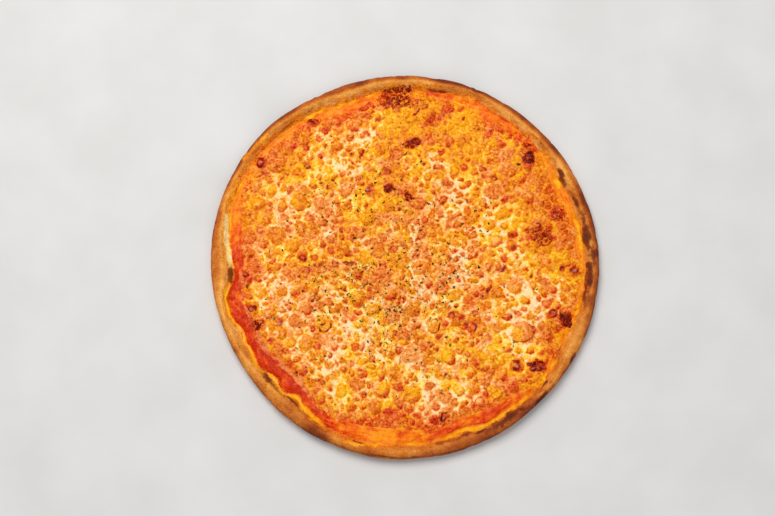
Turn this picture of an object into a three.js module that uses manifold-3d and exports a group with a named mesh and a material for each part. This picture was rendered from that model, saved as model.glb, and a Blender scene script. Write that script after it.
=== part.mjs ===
// A whole margherita pizza, baked, uncut and lying flat: a dough disc with a raised rim,
// tomato sauce spread inside the rim, and melted cheese full of blisters on the sauce.
// Units are millimetres. +Z is up, +X to the right and +Y away from the eater.
// The origin is the middle of the flat underside, and angles run anticlockwise from +X.
import * as THREE from 'three';
import Module from 'manifold-3d';

// Driving dimensions of the dough
const OUTER_RADIUS = 151.2;
const LIP_RADIUS = 142.2; // where the bare brown rim begins
const BASE_THICKNESS = 4.0;
const RIM_HEIGHT = 11.6;
const CREST_SHARE = 0.36; // of the way from the lip to the outer edge
const FOOT_INSET = 5.0; // from the lip in to the flat floor
const UNDERSIDE_INSET = 6.5; // from the outer edge in to the flat underside
const LEAST_RIM_WIDTH = 5; // from the lip to the outer edge

// Driving dimensions of what lies on it
const CLEARANCE = 0.3; // between two layers
const SAUCE_TOP = 5.4;
const SAUCE_EDGE_THICKNESS = 0.35;
const LEAST_OPEN_SAUCE = 2.4; // a narrower band of sauce is left flat
const CHEESE_BASE = SAUCE_TOP + CLEARANCE;
const CHEESE_THICKNESS = 1.9;
const CHEESE_EDGE_THICKNESS = 0.8;
const CHEESE_EDGE_FADE = 12; // the cheese thins out over this width
const CHEESE_REACH = 1.0; // from the foot of the rim out over its slope

// How fine the solids are
const SECTORS = 120;
const SIDE_TILTS = [-62, -32, -4, 26, 56]; // degrees up the rounded outer side
const SLOPE_STEPS = [0, 0.2, 0.4, 0.6, 0.8, 1]; // shares of the way from foot to crest
const SAUCE_STEPS = 2; // the sauce climbs this many of them
const EDGE_POINTS = 170;

// How far each edge or height ripples either way
const OUTLINE_RIPPLE = 0.35;
const LIP_RIPPLE = 0.7;
const HEIGHT_RIPPLE = 0.3;
const CHEESE_RIPPLE = 0.9;
const SAUCE_RIPPLE = 0.12;

// Unevenness, each as { at: degrees, spread: degrees, by: millimetres }
const OUTLINE_BULGES = [
  { at: 28, spread: 15, by: -0.9 },
  { at: 86, spread: 24, by: 0.7 },
  { at: 145, spread: 17, by: 3.2 },
  { at: 178, spread: 7, by: 0.6 },
  { at: 212, spread: 17, by: -2.2 },
  { at: 263, spread: 15, by: 0.5 },
  { at: 318, spread: 19, by: -2.0 },
];
const LIP_SCALLOPS = [
  { at: 14, spread: 14, by: -1.2 },
  { at: 29, spread: 3, by: -2.0 },
  { at: 72, spread: 6, by: 2.6 },
  { at: 108, spread: 5, by: -2.4 },
  { at: 146, spread: 13, by: 5.6 },
  { at: 183, spread: 6, by: -4.4 },
  { at: 194, spread: 4, by: 2.2 },
  { at: 219, spread: 4, by: -1.8 },
  { at: 230, spread: 7, by: -5.2 },
  { at: 257, spread: 12, by: 1.8 },
  { at: 289, spread: 4, by: -3.0 },
  { at: 320, spread: 4, by: 2.0 },
  { at: 331, spread: 6, by: -3.0 },
];
const RIM_SWELLS = [
  { at: 20, spread: 9, by: 0.9 },
  { at: 52, spread: 8, by: -0.9 },
  { at: 98, spread: 12, by: 1.0 },
  { at: 132, spread: 6, by: 1.2 },
  { at: 150, spread: 8, by: -1.6 },
  { at: 196, spread: 6, by: 0.8 },
  { at: 223, spread: 2.5, by: -1.6 },
  { at: 236, spread: 8, by: 2.0 },
  { at: 280, spread: 10, by: -0.8 },
  { at: 303, spread: 7, by: 1.1 },
  { at: 344, spread: 9, by: 0.7 },
];
// How far the cheese stops short of the floor's edge, where the sauce shows
const CHEESE_BAYS = [
  { at: 22, spread: 9, by: -3.5 },
  { at: 60, spread: 7, by: -5.0 },
  { at: 112, spread: 7, by: -4.0 },
  { at: 172, spread: 8, by: -6.5 },
  { at: 196, spread: 9, by: -9.0 },
  { at: 221, spread: 12, by: -10.0 },
  { at: 262, spread: 13, by: -8.5 },
  { at: 297, spread: 12, by: -5.5 },
];

// The largest blisters, which browned most: { x, y, radius }
const SCORCHED = [
  { x: -18, y: 132, radius: 4.5 },
  { x: -8, y: 134, radius: 5.5 },
  { x: 2, y: 131, radius: 4 },
  { x: -73, y: 114, radius: 4 },
  { x: -113, y: 81, radius: 4.5 },
  { x: 4, y: 98, radius: 5.5 },
  { x: 3, y: 58, radius: 5 },
  { x: -14, y: 61, radius: 4 },
  { x: 97, y: 92, radius: 6.5 },
  { x: 122, y: 43, radius: 5.5 },
  { x: 105, y: 28, radius: 8 },
  { x: 130, y: -7, radius: 4.8 },
  { x: 123, y: -42, radius: 6 },
  { x: 112, y: -40, radius: 4 },
  { x: 58, y: -53, radius: 4 },
  { x: 21, y: -49, radius: 5 },
  { x: -63, y: -47, radius: 6 },
  { x: -80, y: 6, radius: 4 },
  { x: -118, y: -34, radius: 4.5 },
  { x: -112, y: -48, radius: 5 },
  { x: 86, y: -80, radius: 5.5 },
  { x: 101, y: -80, radius: 6 },
  { x: 29, y: -117, radius: 4.5 },
  { x: 90, y: -54, radius: 8.5 },
  { x: -122, y: 20, radius: 6 },
  { x: 85, y: -18, radius: 6 },
  { x: -101, y: 22, radius: 7 },
  { x: 32, y: -74, radius: 6 },
];
// Further blisters are strewn by chance, the largest first
const BLISTER_SIZES = [
  { tries: 900, least: 5.2, most: 6.8 },
  { tries: 3000, least: 3.9, most: 5.2 },
];
const BLISTER_LIMIT = 300;
const BLISTER_GAP = 1.3;
const BLISTER_SIDES = 6;
const BLISTER_HEIGHT_SHARE = 0.3; // of its radius
const SUNKEN_RADIUS = 5.4; // wider blisters have collapsed in the middle
const SUNKEN_MIDDLE = 0.45; // their middle's height, as a share of the full height
const DOMED_MIDDLE = 1.1; // the middle of the others
const CROWN_SHARE = 0.62; // where a blister's crown lies, as a share of its radius
const CROWN_HEIGHT = 0.9; // as a share of the full height
const EDGE_MARGIN = 2.6; // blisters keep this far inside the cheese's edge
const FILL_SPACING = 6.5; // between the points of the sheet from blister to blister
const FILL_JITTER = 0.4; // of the spacing
const FILL_MARGIN = 1.8;

// Dried oregano, strewn over the middle and thickest left of it
const FLAKE_COUNT = 64;
const FLAKE_SIDES = 5;
const FLAKE_LENGTH = 3.0;
const FLAKE_WIDTH = 1.5;
const FLAKE_THICKNESS = 0.7;
const FLAKE_SUNK = 0.45; // of its thickness
const FLAKE_TILT = 0.3; // radians from one lean to the other
const FLAKE_CENTRE = { x: -18, y: -12 };
const FLAKE_SPREAD = 46;
const FLAKE_TAIL = 0.97; // the share of the spread that is kept
const FLAKE_LIMIT = LIP_RADIUS - 24;
const SEED = 20240611;

const radians = THREE.MathUtils.degToRad;
const smooth = (share) => THREE.MathUtils.smoothstep(share, 0, 1);

// A repeatable source of chance, from 0 to 1
function makeRandom(seed) {
  let state = seed;
  return () => {
    state = (Math.imul(state, 1664525) + 1013904223) >>> 0;
    return state / 4294967296;
  };
}

// The sum of a list's bumps at an angle
function bumpsAt(bumps, degrees) {
  return bumps.reduce((sum, { at, spread, by }) => {
    const apart = ((degrees - at + 540) % 360) - 180;
    return sum + by * Math.exp(-0.5 * (apart / spread) ** 2);
  }, 0);
}

// Small waves round the edge that no two edges share, about 1 high
function ripple(degrees, phase) {
  const turn = radians(degrees);
  return 0.5 * Math.sin(11 * turn + phase) + 0.3 * Math.sin(19 * turn + 2.3 * phase)
    + 0.2 * Math.sin(31 * turn + 4.1 * phase);
}

// The pizza's radii and heights at one angle
function sectionAt(degrees) {
  const outer = OUTER_RADIUS + bumpsAt(OUTLINE_BULGES, degrees) + OUTLINE_RIPPLE * ripple(degrees, 1);
  const inner = LIP_RADIUS + bumpsAt(LIP_SCALLOPS, degrees) + LIP_RIPPLE * ripple(degrees, 2);
  const lip = Math.min(inner, outer - LEAST_RIM_WIDTH);
  const crest = lip + CREST_SHARE * (outer - lip);
  const height = RIM_HEIGHT + bumpsAt(RIM_SWELLS, degrees) + HEIGHT_RIPPLE * ripple(degrees, 3);
  const foot = lip - FOOT_INSET;
  const cheese = foot + CHEESE_REACH + bumpsAt(CHEESE_BAYS, degrees) + CHEESE_RIPPLE * ripple(degrees, 4);
  return { outer, lip, crest, height, foot, cheese };
}

// A point of the rim's inner slope, at a share of the way from foot to crest
function slopePoint(section, share) {
  const radius = section.foot + share * (section.crest - section.foot);
  return { radius, z: BASE_THICKNESS + smooth(share) * (section.height - BASE_THICKNESS) };
}

// A solid of revolution whose profile changes with the angle. The profile is a list of
// { radius, z } that begins at the axis on the underside and ends at the axis on top.
function unevenLathe(profileAt) {
  const steps = profileAt(0).length;
  const outline = profileAt(0).map(({ radius, z }) => new THREE.Vector2(radius, z));
  const geometry = new THREE.LatheGeometry(outline, SECTORS);
  const position = geometry.getAttribute('position');
  for (let sector = 0; sector <= SECTORS; sector += 1) {
    const degrees = ((sector % SECTORS) * 360) / SECTORS;
    profileAt(degrees).forEach(({ radius, z }, step) => {
      const turn = radians(degrees);
      position.setXYZ(sector * steps + step, radius * Math.cos(turn), radius * Math.sin(turn), z);
    });
  }
  geometry.computeVertexNormals();
  return geometry;
}

// Dough: flat underside, rounded outer side, crest, inner slope and flat floor
function doughProfile(degrees) {
  const section = sectionAt(degrees);
  const halfHeight = section.height / 2;
  const side = section.outer - section.crest;
  const outside = SIDE_TILTS.map((tilt) => ({
    radius: section.crest + side * Math.cos(radians(tilt)),
    z: halfHeight * (1 + Math.sin(radians(tilt))),
  }));
  const slope = [...SLOPE_STEPS].reverse().map((share) => slopePoint(section, share));
  return [
    { radius: 0, z: 0 },
    { radius: section.outer - UNDERSIDE_INSET, z: 0 },
    ...outside,
    ...slope,
    { radius: 0, z: BASE_THICKNESS },
  ];
}

// Tomato sauce: it follows the dough below, and its lumpy band shows beyond the cheese
function sauceProfile(degrees) {
  const section = sectionAt(degrees);
  const climb = SLOPE_STEPS.slice(0, SAUCE_STEPS).map((share) => slopePoint(section, share));
  const under = climb.map(({ radius, z }) => ({ radius, z: z + CLEARANCE }));
  const shore = climb[climb.length - 1].radius;
  const isOpen = section.cheese + LEAST_OPEN_SAUCE < shore;
  const within = Math.min(section.cheese, shore - LEAST_OPEN_SAUCE);
  const band = [0.3, 0.7].map((share, step) => ({
    radius: THREE.MathUtils.lerp(shore, within, share),
    z: SAUCE_TOP + (isOpen ? SAUCE_RIPPLE * ripple(degrees * 2, 5 + step) : 0),
  }));
  return [
    { radius: 0, z: BASE_THICKNESS + CLEARANCE },
    ...under,
    { radius: shore, z: under[under.length - 1].z + SAUCE_EDGE_THICKNESS },
    ...band,
    { radius: within - LEAST_OPEN_SAUCE, z: SAUCE_TOP },
    { radius: 0, z: SAUCE_TOP },
  ];
}

// How far inside the cheese's edge a place lies
function inwardFromEdge(x, y) {
  return sectionAt(THREE.MathUtils.radToDeg(Math.atan2(y, x))).cheese - Math.hypot(x, y);
}

// How thick the cheese sheet is at a place, without its blisters: two sets of low waves
function sheetThickness(x, y) {
  const share = smooth(inwardFromEdge(x, y) / CHEESE_EDGE_FADE);
  const wave = 0.22 * Math.sin(x / 13 + 0.7) * Math.cos(y / 11) + 0.16 * Math.sin((x + y) / 7.5);
  return THREE.MathUtils.lerp(CHEESE_EDGE_THICKNESS, CHEESE_THICKNESS + wave, share);
}

// The blisters: the scorched ones, then others wherever there is room
function scatterBlisters(random) {
  const placed = SCORCHED.map((blister) => ({ ...blister }));
  const fits = ({ x, y, radius }) => (
    inwardFromEdge(x, y) > radius + EDGE_MARGIN && placed.every((other) => (
      Math.hypot(other.x - x, other.y - y) > other.radius + radius + BLISTER_GAP
    ))
  );
  for (const { tries, least, most } of BLISTER_SIZES) {
    for (let attempt = 0; attempt < tries && placed.length < BLISTER_LIMIT; attempt += 1) {
      const from = OUTER_RADIUS * Math.sqrt(random());
      const turn = 2 * Math.PI * random();
      const radius = least + (most - least) * random();
      const blister = { x: from * Math.cos(turn), y: from * Math.sin(turn), radius };
      if (fits(blister)) placed.push(blister);
    }
  }
  return placed;
}

// A ring of points round a blister, at a share of its radius and of its height
function blisterRing(blister, radiusShare, heightShare, twist) {
  const height = blister.radius * BLISTER_HEIGHT_SHARE * heightShare;
  return Array.from({ length: BLISTER_SIDES }, (_, side) => {
    const turn = ((side + twist) * 2 * Math.PI) / BLISTER_SIDES;
    const x = blister.x + blister.radius * radiusShare * Math.cos(turn);
    const y = blister.y + blister.radius * radiusShare * Math.sin(turn);
    return { x, y, z: CHEESE_BASE + sheetThickness(x, y) + height };
  });
}

// The points of the cheese's upper surface: its edge, its blisters and the sheet between
function cheesePoints(blisters, random) {
  const points = Array.from({ length: EDGE_POINTS }, (_, step) => {
    const degrees = (step * 360) / EDGE_POINTS;
    const { cheese } = sectionAt(degrees);
    const turn = radians(degrees);
    const z = CHEESE_BASE + CHEESE_EDGE_THICKNESS;
    return { x: cheese * Math.cos(turn), y: cheese * Math.sin(turn), z };
  });
  for (const blister of blisters) {
    const twist = random();
    const middle = blister.radius > SUNKEN_RADIUS ? SUNKEN_MIDDLE : DOMED_MIDDLE;
    const height = blister.radius * BLISTER_HEIGHT_SHARE * middle;
    const { x, y } = blister;
    points.push({ x, y, z: CHEESE_BASE + sheetThickness(x, y) + height });
    points.push(...blisterRing(blister, CROWN_SHARE, CROWN_HEIGHT, twist + 0.5));
    points.push(...blisterRing(blister, 1, 0, twist));
  }
  const reach = Math.ceil(OUTER_RADIUS / FILL_SPACING);
  for (let row = -reach; row <= reach; row += 1) {
    for (let column = -reach; column <= reach; column += 1) {
      const x = (column + 0.5 * (row & 1) + FILL_JITTER * (random() - 0.5)) * FILL_SPACING;
      const y = (row + FILL_JITTER * (random() - 0.5)) * FILL_SPACING;
      const clear = blisters.every((blister) => (
        Math.hypot(blister.x - x, blister.y - y) > blister.radius + FILL_MARGIN
      ));
      if (clear && inwardFromEdge(x, y) > EDGE_MARGIN) {
        points.push({ x, y, z: CHEESE_BASE + sheetThickness(x, y) });
      }
    }
  }
  return points;
}

// A triangle of three points, with the circle through them
function circledTriangle(points, corners) {
  const [a, b, c] = corners.map((corner) => points[corner]);
  const bx = b.x - a.x;
  const by = b.y - a.y;
  const cx = c.x - a.x;
  const cy = c.y - a.y;
  const twice = 2 * (bx * cy - by * cx);
  const ux = (cy * (bx * bx + by * by) - by * (cx * cx + cy * cy)) / twice;
  const uy = (bx * (cx * cx + cy * cy) - cx * (bx * bx + by * by)) / twice;
  return { corners, x: a.x + ux, y: a.y + uy, square: ux * ux + uy * uy };
}

// Joins scattered points into triangles that run anticlockwise, adding one point at a time
function triangulate(points) {
  const far = 20 * OUTER_RADIUS;
  const all = [...points, { x: -far, y: -far }, { x: far, y: -far }, { x: 0, y: far }];
  const count = points.length;
  let triangles = [circledTriangle(all, [count, count + 1, count + 2])];
  points.forEach((point, index) => {
    const rim = new Map();
    triangles = triangles.filter((triangle) => {
      if ((triangle.x - point.x) ** 2 + (triangle.y - point.y) ** 2 >= triangle.square) return true;
      triangle.corners.forEach((from, side) => {
        const to = triangle.corners[(side + 1) % 3];
        if (!rim.delete(`${to},${from}`)) rim.set(`${from},${to}`, [from, to]);
      });
      return false;
    });
    for (const [from, to] of rim.values()) triangles.push(circledTriangle(all, [from, to, index]));
  });
  const kept = triangles.filter(({ corners }) => corners.every((corner) => corner < count));
  return kept.map(({ corners }) => corners);
}

// The outer loop of a sheet of triangles, as a list of its points in order
function outerLoop(triangles) {
  const next = new Map();
  const edges = new Set(triangles.flatMap((t) => t.map((from, side) => `${from},${t[(side + 1) % 3]}`)));
  for (const edge of edges) {
    const [from, to] = edge.split(',').map(Number);
    if (!edges.has(`${to},${from}`)) next.set(from, to);
  }
  const start = next.keys().next().value;
  const loop = [start];
  for (let at = next.get(start); at !== start; at = next.get(at)) loop.push(at);
  return loop;
}

// Melted cheese: a blistered upper surface over a flat underside
function cheeseMesh(points) {
  const top = triangulate(points).filter((corners) => {
    const x = corners.reduce((sum, corner) => sum + points[corner].x, 0) / 3;
    const y = corners.reduce((sum, corner) => sum + points[corner].y, 0) / 3;
    return inwardFromEdge(x, y) > 0;
  });
  const loop = outerLoop(top);
  const lower = (step) => points.length + (step % loop.length);
  const walls = loop.flatMap((upper, step) => {
    const following = loop[(step + 1) % loop.length];
    return [[upper, lower(step), lower(step + 1)], [upper, lower(step + 1), following]];
  });
  const contour = loop.map((at) => new THREE.Vector2(points[at].x, points[at].y));
  const bottom = THREE.ShapeUtils.triangulateShape(contour, [])
    .map(([a, b, c]) => [lower(c), lower(b), lower(a)]);
  const vertices = [
    ...points.flatMap(({ x, y, z }) => [x, y, z]),
    ...loop.flatMap((at) => [points[at].x, points[at].y, CHEESE_BASE]),
  ];
  return { vertices, triangles: [...top, ...walls, ...bottom].flat() };
}

// How high the cheese's upper surface is at a place, with its blisters
function cheeseHeight(blisters, x, y) {
  const rise = blisters.reduce((most, blister) => {
    const share = Math.hypot(blister.x - x, blister.y - y) / blister.radius;
    const fall = smooth((share - CROWN_SHARE) / (1 - CROWN_SHARE));
    return share < 1 ? blister.radius * BLISTER_HEIGHT_SHARE * (1 - fall) : most;
  }, 0);
  return CHEESE_BASE + sheetThickness(x, y) + rise;
}

// One oregano flake: a thin scrap of leaf, a quarter larger or smaller than the usual one
function flakeGeometry(random) {
  const scale = 0.75 + 0.5 * random();
  const outline = new THREE.Shape(Array.from({ length: FLAKE_SIDES }, (_, side) => {
    const turn = ((side + 0.5 * random()) * 2 * Math.PI) / FLAKE_SIDES;
    return new THREE.Vector2(
      0.5 * FLAKE_LENGTH * scale * Math.cos(turn),
      0.5 * FLAKE_WIDTH * scale * Math.sin(turn),
    );
  }));
  const geometry = new THREE.ExtrudeGeometry(outline, { depth: FLAKE_THICKNESS, bevelEnabled: false });
  geometry.rotateX(FLAKE_TILT * (random() - 0.5));
  geometry.rotateZ(2 * Math.PI * random());
  return geometry;
}

// The flakes' places: a cluster that thins out from its centre
function flakePlaces(random) {
  return Array.from({ length: FLAKE_COUNT }, () => {
    const from = FLAKE_SPREAD * Math.sqrt(-2 * Math.log(1 - FLAKE_TAIL * random()));
    const turn = 2 * Math.PI * random();
    return { x: FLAKE_CENTRE.x + from * Math.cos(turn), y: FLAKE_CENTRE.y + from * Math.sin(turn) };
  }).filter(({ x, y }) => Math.hypot(x, y) < FLAKE_LIMIT);
}

const wasm = await Module();
wasm.setup();

// A closed list of triangles as a solid for joining
function solidFrom(vertices, triangles) {
  const vertProperties = new Float32Array(vertices);
  const triVerts = new Uint32Array(triangles);
  return new wasm.Manifold(new wasm.Mesh({ numProp: 3, vertProperties, triVerts }));
}

// A geometry's vertices merged by place, as a solid for joining
function solidFromGeometry(geometry) {
  const position = geometry.getAttribute('position');
  const vertices = [];
  const known = new Map();
  const triangles = Array.from({ length: position.count }, (_, index) => {
    const place = [position.getX(index), position.getY(index), position.getZ(index)];
    const key = place.map((value) => value.toFixed(4)).join();
    if (!known.has(key)) {
      known.set(key, known.size);
      vertices.push(...place);
    }
    return known.get(key);
  });
  return solidFrom(vertices, triangles);
}

// A joined solid as a geometry
function geometryFrom(solid) {
  const mesh = solid.getMesh();
  const geometry = new THREE.BufferGeometry();
  geometry.setAttribute('position', new THREE.BufferAttribute(mesh.vertProperties, 3));
  geometry.setIndex(new THREE.BufferAttribute(mesh.triVerts, 1));
  geometry.computeVertexNormals();
  return geometry;
}

// The cheese with its blisters, and the oregano fused on. A flake that misses it is dropped.
function cheeseGeometry() {
  const random = makeRandom(SEED);
  const blisters = scatterBlisters(random);
  const { vertices, triangles } = cheeseMesh(cheesePoints(blisters, random));
  const flakes = flakePlaces(random).map(({ x, y }) => {
    const flake = flakeGeometry(random);
    flake.translate(x, y, cheeseHeight(blisters, x, y) - FLAKE_SUNK * FLAKE_THICKNESS);
    return solidFromGeometry(flake);
  });
  const joined = wasm.Manifold.union([solidFrom(vertices, triangles), ...flakes]);
  const [largest] = joined.decompose().sort((a, b) => b.volume() - a.volume());
  return geometryFrom(largest);
}

const crustMaterial = new THREE.MeshStandardMaterial({ color: '#c98a48', roughness: 0.8, metalness: 0 });
const sauceMaterial = new THREE.MeshStandardMaterial({ color: '#d8431c', roughness: 0.35, metalness: 0 });
const cheeseMaterial = new THREE.MeshStandardMaterial({ color: '#f0a040', roughness: 0.4, metalness: 0 });

// A named mesh
function piece(name, geometry, material) {
  const mesh = new THREE.Mesh(geometry, material);
  mesh.name = name;
  return mesh;
}

const pizza = new THREE.Group();
pizza.add(piece('dough', unevenLathe(doughProfile), crustMaterial));
pizza.add(piece('tomato_sauce', unevenLathe(sauceProfile), sauceMaterial));
pizza.add(piece('melted_cheese', cheeseGeometry(), cheeseMaterial));

export default pizza;
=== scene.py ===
import itertools
import math
import bpy
import numpy as np
from mathutils import Matrix, Vector
from mathutils.bvhtree import BVHTree


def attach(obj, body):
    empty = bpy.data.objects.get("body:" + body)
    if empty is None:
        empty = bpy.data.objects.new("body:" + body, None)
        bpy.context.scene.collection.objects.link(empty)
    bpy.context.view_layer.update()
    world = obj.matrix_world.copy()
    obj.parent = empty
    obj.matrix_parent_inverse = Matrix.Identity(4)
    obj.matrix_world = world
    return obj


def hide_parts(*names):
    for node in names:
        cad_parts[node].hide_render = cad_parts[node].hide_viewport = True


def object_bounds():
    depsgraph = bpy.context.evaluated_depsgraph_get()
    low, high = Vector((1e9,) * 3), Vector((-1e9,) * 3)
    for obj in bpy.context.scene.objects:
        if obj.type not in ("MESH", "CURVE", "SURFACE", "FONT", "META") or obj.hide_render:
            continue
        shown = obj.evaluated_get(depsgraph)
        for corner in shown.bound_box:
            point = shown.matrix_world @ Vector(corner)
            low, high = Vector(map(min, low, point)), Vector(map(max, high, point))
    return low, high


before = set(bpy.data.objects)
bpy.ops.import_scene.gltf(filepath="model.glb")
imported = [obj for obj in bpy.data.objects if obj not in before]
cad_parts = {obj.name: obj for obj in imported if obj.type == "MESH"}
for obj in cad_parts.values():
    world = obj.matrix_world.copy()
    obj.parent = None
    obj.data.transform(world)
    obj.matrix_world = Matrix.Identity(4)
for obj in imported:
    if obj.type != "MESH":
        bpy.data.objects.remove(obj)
CAD_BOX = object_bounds()

# A baked margherita pizza: a browned crust, oily tomato sauce, blistered cheese and dried oregano.
# Lengths are millimetres until a mesh is made, and angles are degrees anticlockwise from +X.
MM = 0.001

# The solids' own driving dimensions
OUTER_RADIUS = 151.2
LIP_RADIUS = 142.2
BASE_THICKNESS = 4.0
RIM_HEIGHT = 11.6
CREST_SHARE = 0.36
FOOT_INSET = 5.0
UNDERSIDE_INSET = 6.5
LEAST_RIM_WIDTH = 5.0
CLEARANCE = 0.3
SAUCE_TOP = 5.4
SAUCE_CLIMB = 0.2
CHEESE_BASE = SAUCE_TOP + CLEARANCE
CHEESE_THICKNESS = 1.9
CHEESE_EDGE_THICKNESS = 0.8
CHEESE_EDGE_FADE = 12
CHEESE_REACH = 1.0
OUTLINE_RIPPLE = 0.35
LIP_RIPPLE = 0.7
HEIGHT_RIPPLE = 0.3
CHEESE_RIPPLE = 0.9

# Unevenness of the solids: (at, spread, by)
OUTLINE_BULGES = [
    (28, 15, -0.9), (86, 24, 0.7), (145, 17, 3.2), (178, 7, 0.6), (212, 17, -2.2), (263, 15, 0.5),
    (318, 19, -2.0),
]
LIP_SCALLOPS = [
    (14, 14, -1.2), (29, 3, -2.0), (72, 6, 2.6), (108, 5, -2.4), (146, 13, 5.6), (183, 6, -4.4),
    (194, 4, 2.2), (219, 4, -1.8), (230, 7, -5.2), (257, 12, 1.8), (289, 4, -3.0), (320, 4, 2.0),
    (331, 6, -3.0),
]
RIM_SWELLS = [
    (20, 9, 0.9), (52, 8, -0.9), (98, 12, 1.0), (132, 6, 1.2), (150, 8, -1.6), (196, 6, 0.8),
    (223, 2.5, -1.6), (236, 8, 2.0), (280, 10, -0.8), (303, 7, 1.1), (344, 9, 0.7),
]
CHEESE_BAYS = [
    (22, 9, -3.5), (60, 7, -5.0), (112, 7, -4.0), (172, 8, -6.5), (196, 9, -9.0), (221, 12, -10.0),
    (262, 13, -8.5), (297, 12, -5.5),
]

# Blisters of the solids: the scorched ones as (x, y, radius, how burnt), then those strewn by chance
SCORCHED = [
    (-18, 132, 4.5, 0.9), (-8, 134, 5.5, 1.0), (2, 131, 4, 0.9), (-73, 114, 4, 0.75),
    (-113, 81, 4.5, 0.6), (4, 98, 5.5, 0.85), (3, 58, 5, 0.9), (-14, 61, 4, 0.9), (97, 92, 6.5, 1.0),
    (122, 43, 5.5, 0.7), (105, 28, 8, 0.6), (130, -7, 4.8, 0.75), (123, -42, 6, 1.0), (112, -40, 4, 1.0),
    (58, -53, 4, 0.8), (21, -49, 5, 0.55), (-63, -47, 6, 0.5), (-80, 6, 4, 0.55), (-118, -34, 4.5, 0.75),
    (-112, -48, 5, 0.7), (86, -80, 5.5, 0.7), (101, -80, 6, 1.0), (29, -117, 4.5, 0.85),
    (90, -54, 8.5, 0.35), (-122, 20, 6, 0.5), (85, -18, 6, 0.35), (-101, 22, 7, 0.3), (32, -74, 6, 0.1),
]
BLISTER_SIZES = [(900, 5.2, 6.8), (3000, 3.9, 5.2)]
BLISTER_LIMIT = 300
BLISTER_GAP = 1.3
BLISTER_HEIGHT_SHARE = 0.3
SUNKEN_RADIUS = 5.4
SUNKEN_MIDDLE = 0.45
DOMED_MIDDLE = 1.1
CROWN_SHARE = 0.62
EDGE_MARGIN = 2.6
FILL_SPACING = 6.5
SEED = 20240611

# Oregano of the solids
FLAKE_COUNT = 64
FLAKE_CENTRE = (-18, -12)
FLAKE_SPREAD = 46
FLAKE_TAIL = 0.97
FLAKE_LIMIT = LIP_RADIUS - 24

# What the render adds to them. Many blisters over a radius part into cells, more of them in the fine
# places: (x, y, spread, share). Small cells fill the room left: (tries, least, most radius, gap).
SPLIT_RADIUS = 4.0
SPLIT_SHARE = 0.4
FINE_PLACES = [(45, -15, 38, 0.6), (20, 75, 25, 0.4), (-50, 60, 22, 0.3), (-30, -90, 25, 0.3)]
SMALL_CELLS = [(9000, 2.3, 4.0, 0.6), (6000, 1.2, 2.3, 0.45)]
SMALL_CELL_REACH = 140
JOINED_SHARE = 0.35
THREAD_HALF_WIDTH = 0.42
ROUNDING = 0.7  # how softly the threads meet
BLENDING = 0.6  # how softly one cell's colour passes into the next
EDGE_FINGERS = 2.4  # how far the cheese's edge wanders in and out
WIDE_RING = 4.9  # a burnt blister of this radius or more shows as a thin ring
LATTICE_SIZE = 32  # how many lumps the noise has before it repeats
CHEESE_MEAN_RADIUS = 134
CHEESE_UNDERSIDE = CHEESE_BASE - 0.15
CHEESE_GRID = 311
FINGER_CIRCLE = 40  # the circle whose noise shapes the cheese's edge
CRUST_SECTORS = 1200
CRUST_SIDE_TILTS = np.linspace(-62, 90, 24)
CRUST_SLOPE_SHARES = np.linspace(1, 0, 19)[1:]
SAUCE_SECTORS = 1000
SAUCE_BAND_RINGS = 24
SHORE_CIRCLE = 140  # the circle whose noise shapes the sauce's edge
SOLID_FLAKE_LENGTH = 2.6
EXTRA_FLAKES = 950
EXTRA_FLAKE_LENGTHS = (1.0, 3.1)
WIDE_FLAKE_SHARE = 0.25
WIDE_FLAKE_SPREAD = 75
FLAKE_REACH = FLAKE_LIMIT + 6
FLAKE_THICKNESS = 0.16
FLAKE_LIFT = 0.12
CRUMB_SPREAD = 58

# Burnt patches: (x, y, half length, half width, turn, amount); burnt blisters: (x, y, radius, amount)
BURNT_PATCHES = [
    (-9, 137.5, 13, 3.4, 8, 0.66), (-4, 131, 11, 5.5, 8, 0.7), (-14, 127, 7, 3, 20, 0.6),
    (5, 96.5, 6.5, 3.8, 25, 0.8), (98, 85, 5, 6, 0, 0.95), (97, 93, 4, 4.5, 20, 0.7),
    (106, 23, 9.5, 8, 0, 0.6), (119, 38, 5.5, 4, 120, 0.65), (123, -44, 5.5, 6.5, 20, 0.9),
    (101, -80, 5.5, 4, 10, 0.85), (28, -122, 3.5, 2.0, 30, 0.5), (2, 55, 5.5, 3.2, -40, 0.85),
    (-13, 60, 3.5, 3, 0, 0.85), (-73, 114, 4, 3, 20, 0.75), (-113, -48, 5.5, 3.4, 20, 0.75),
    (-60, 61, 4, 3, 0, 0.5), (12, 128, 9, 5, 10, 0.35), (112, -52, 9, 5, 60, 0.3),
    (78, 108, 10, 4, 140, 0.3), (20, 116, 8, 6, 0, 0.25),
]
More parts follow.
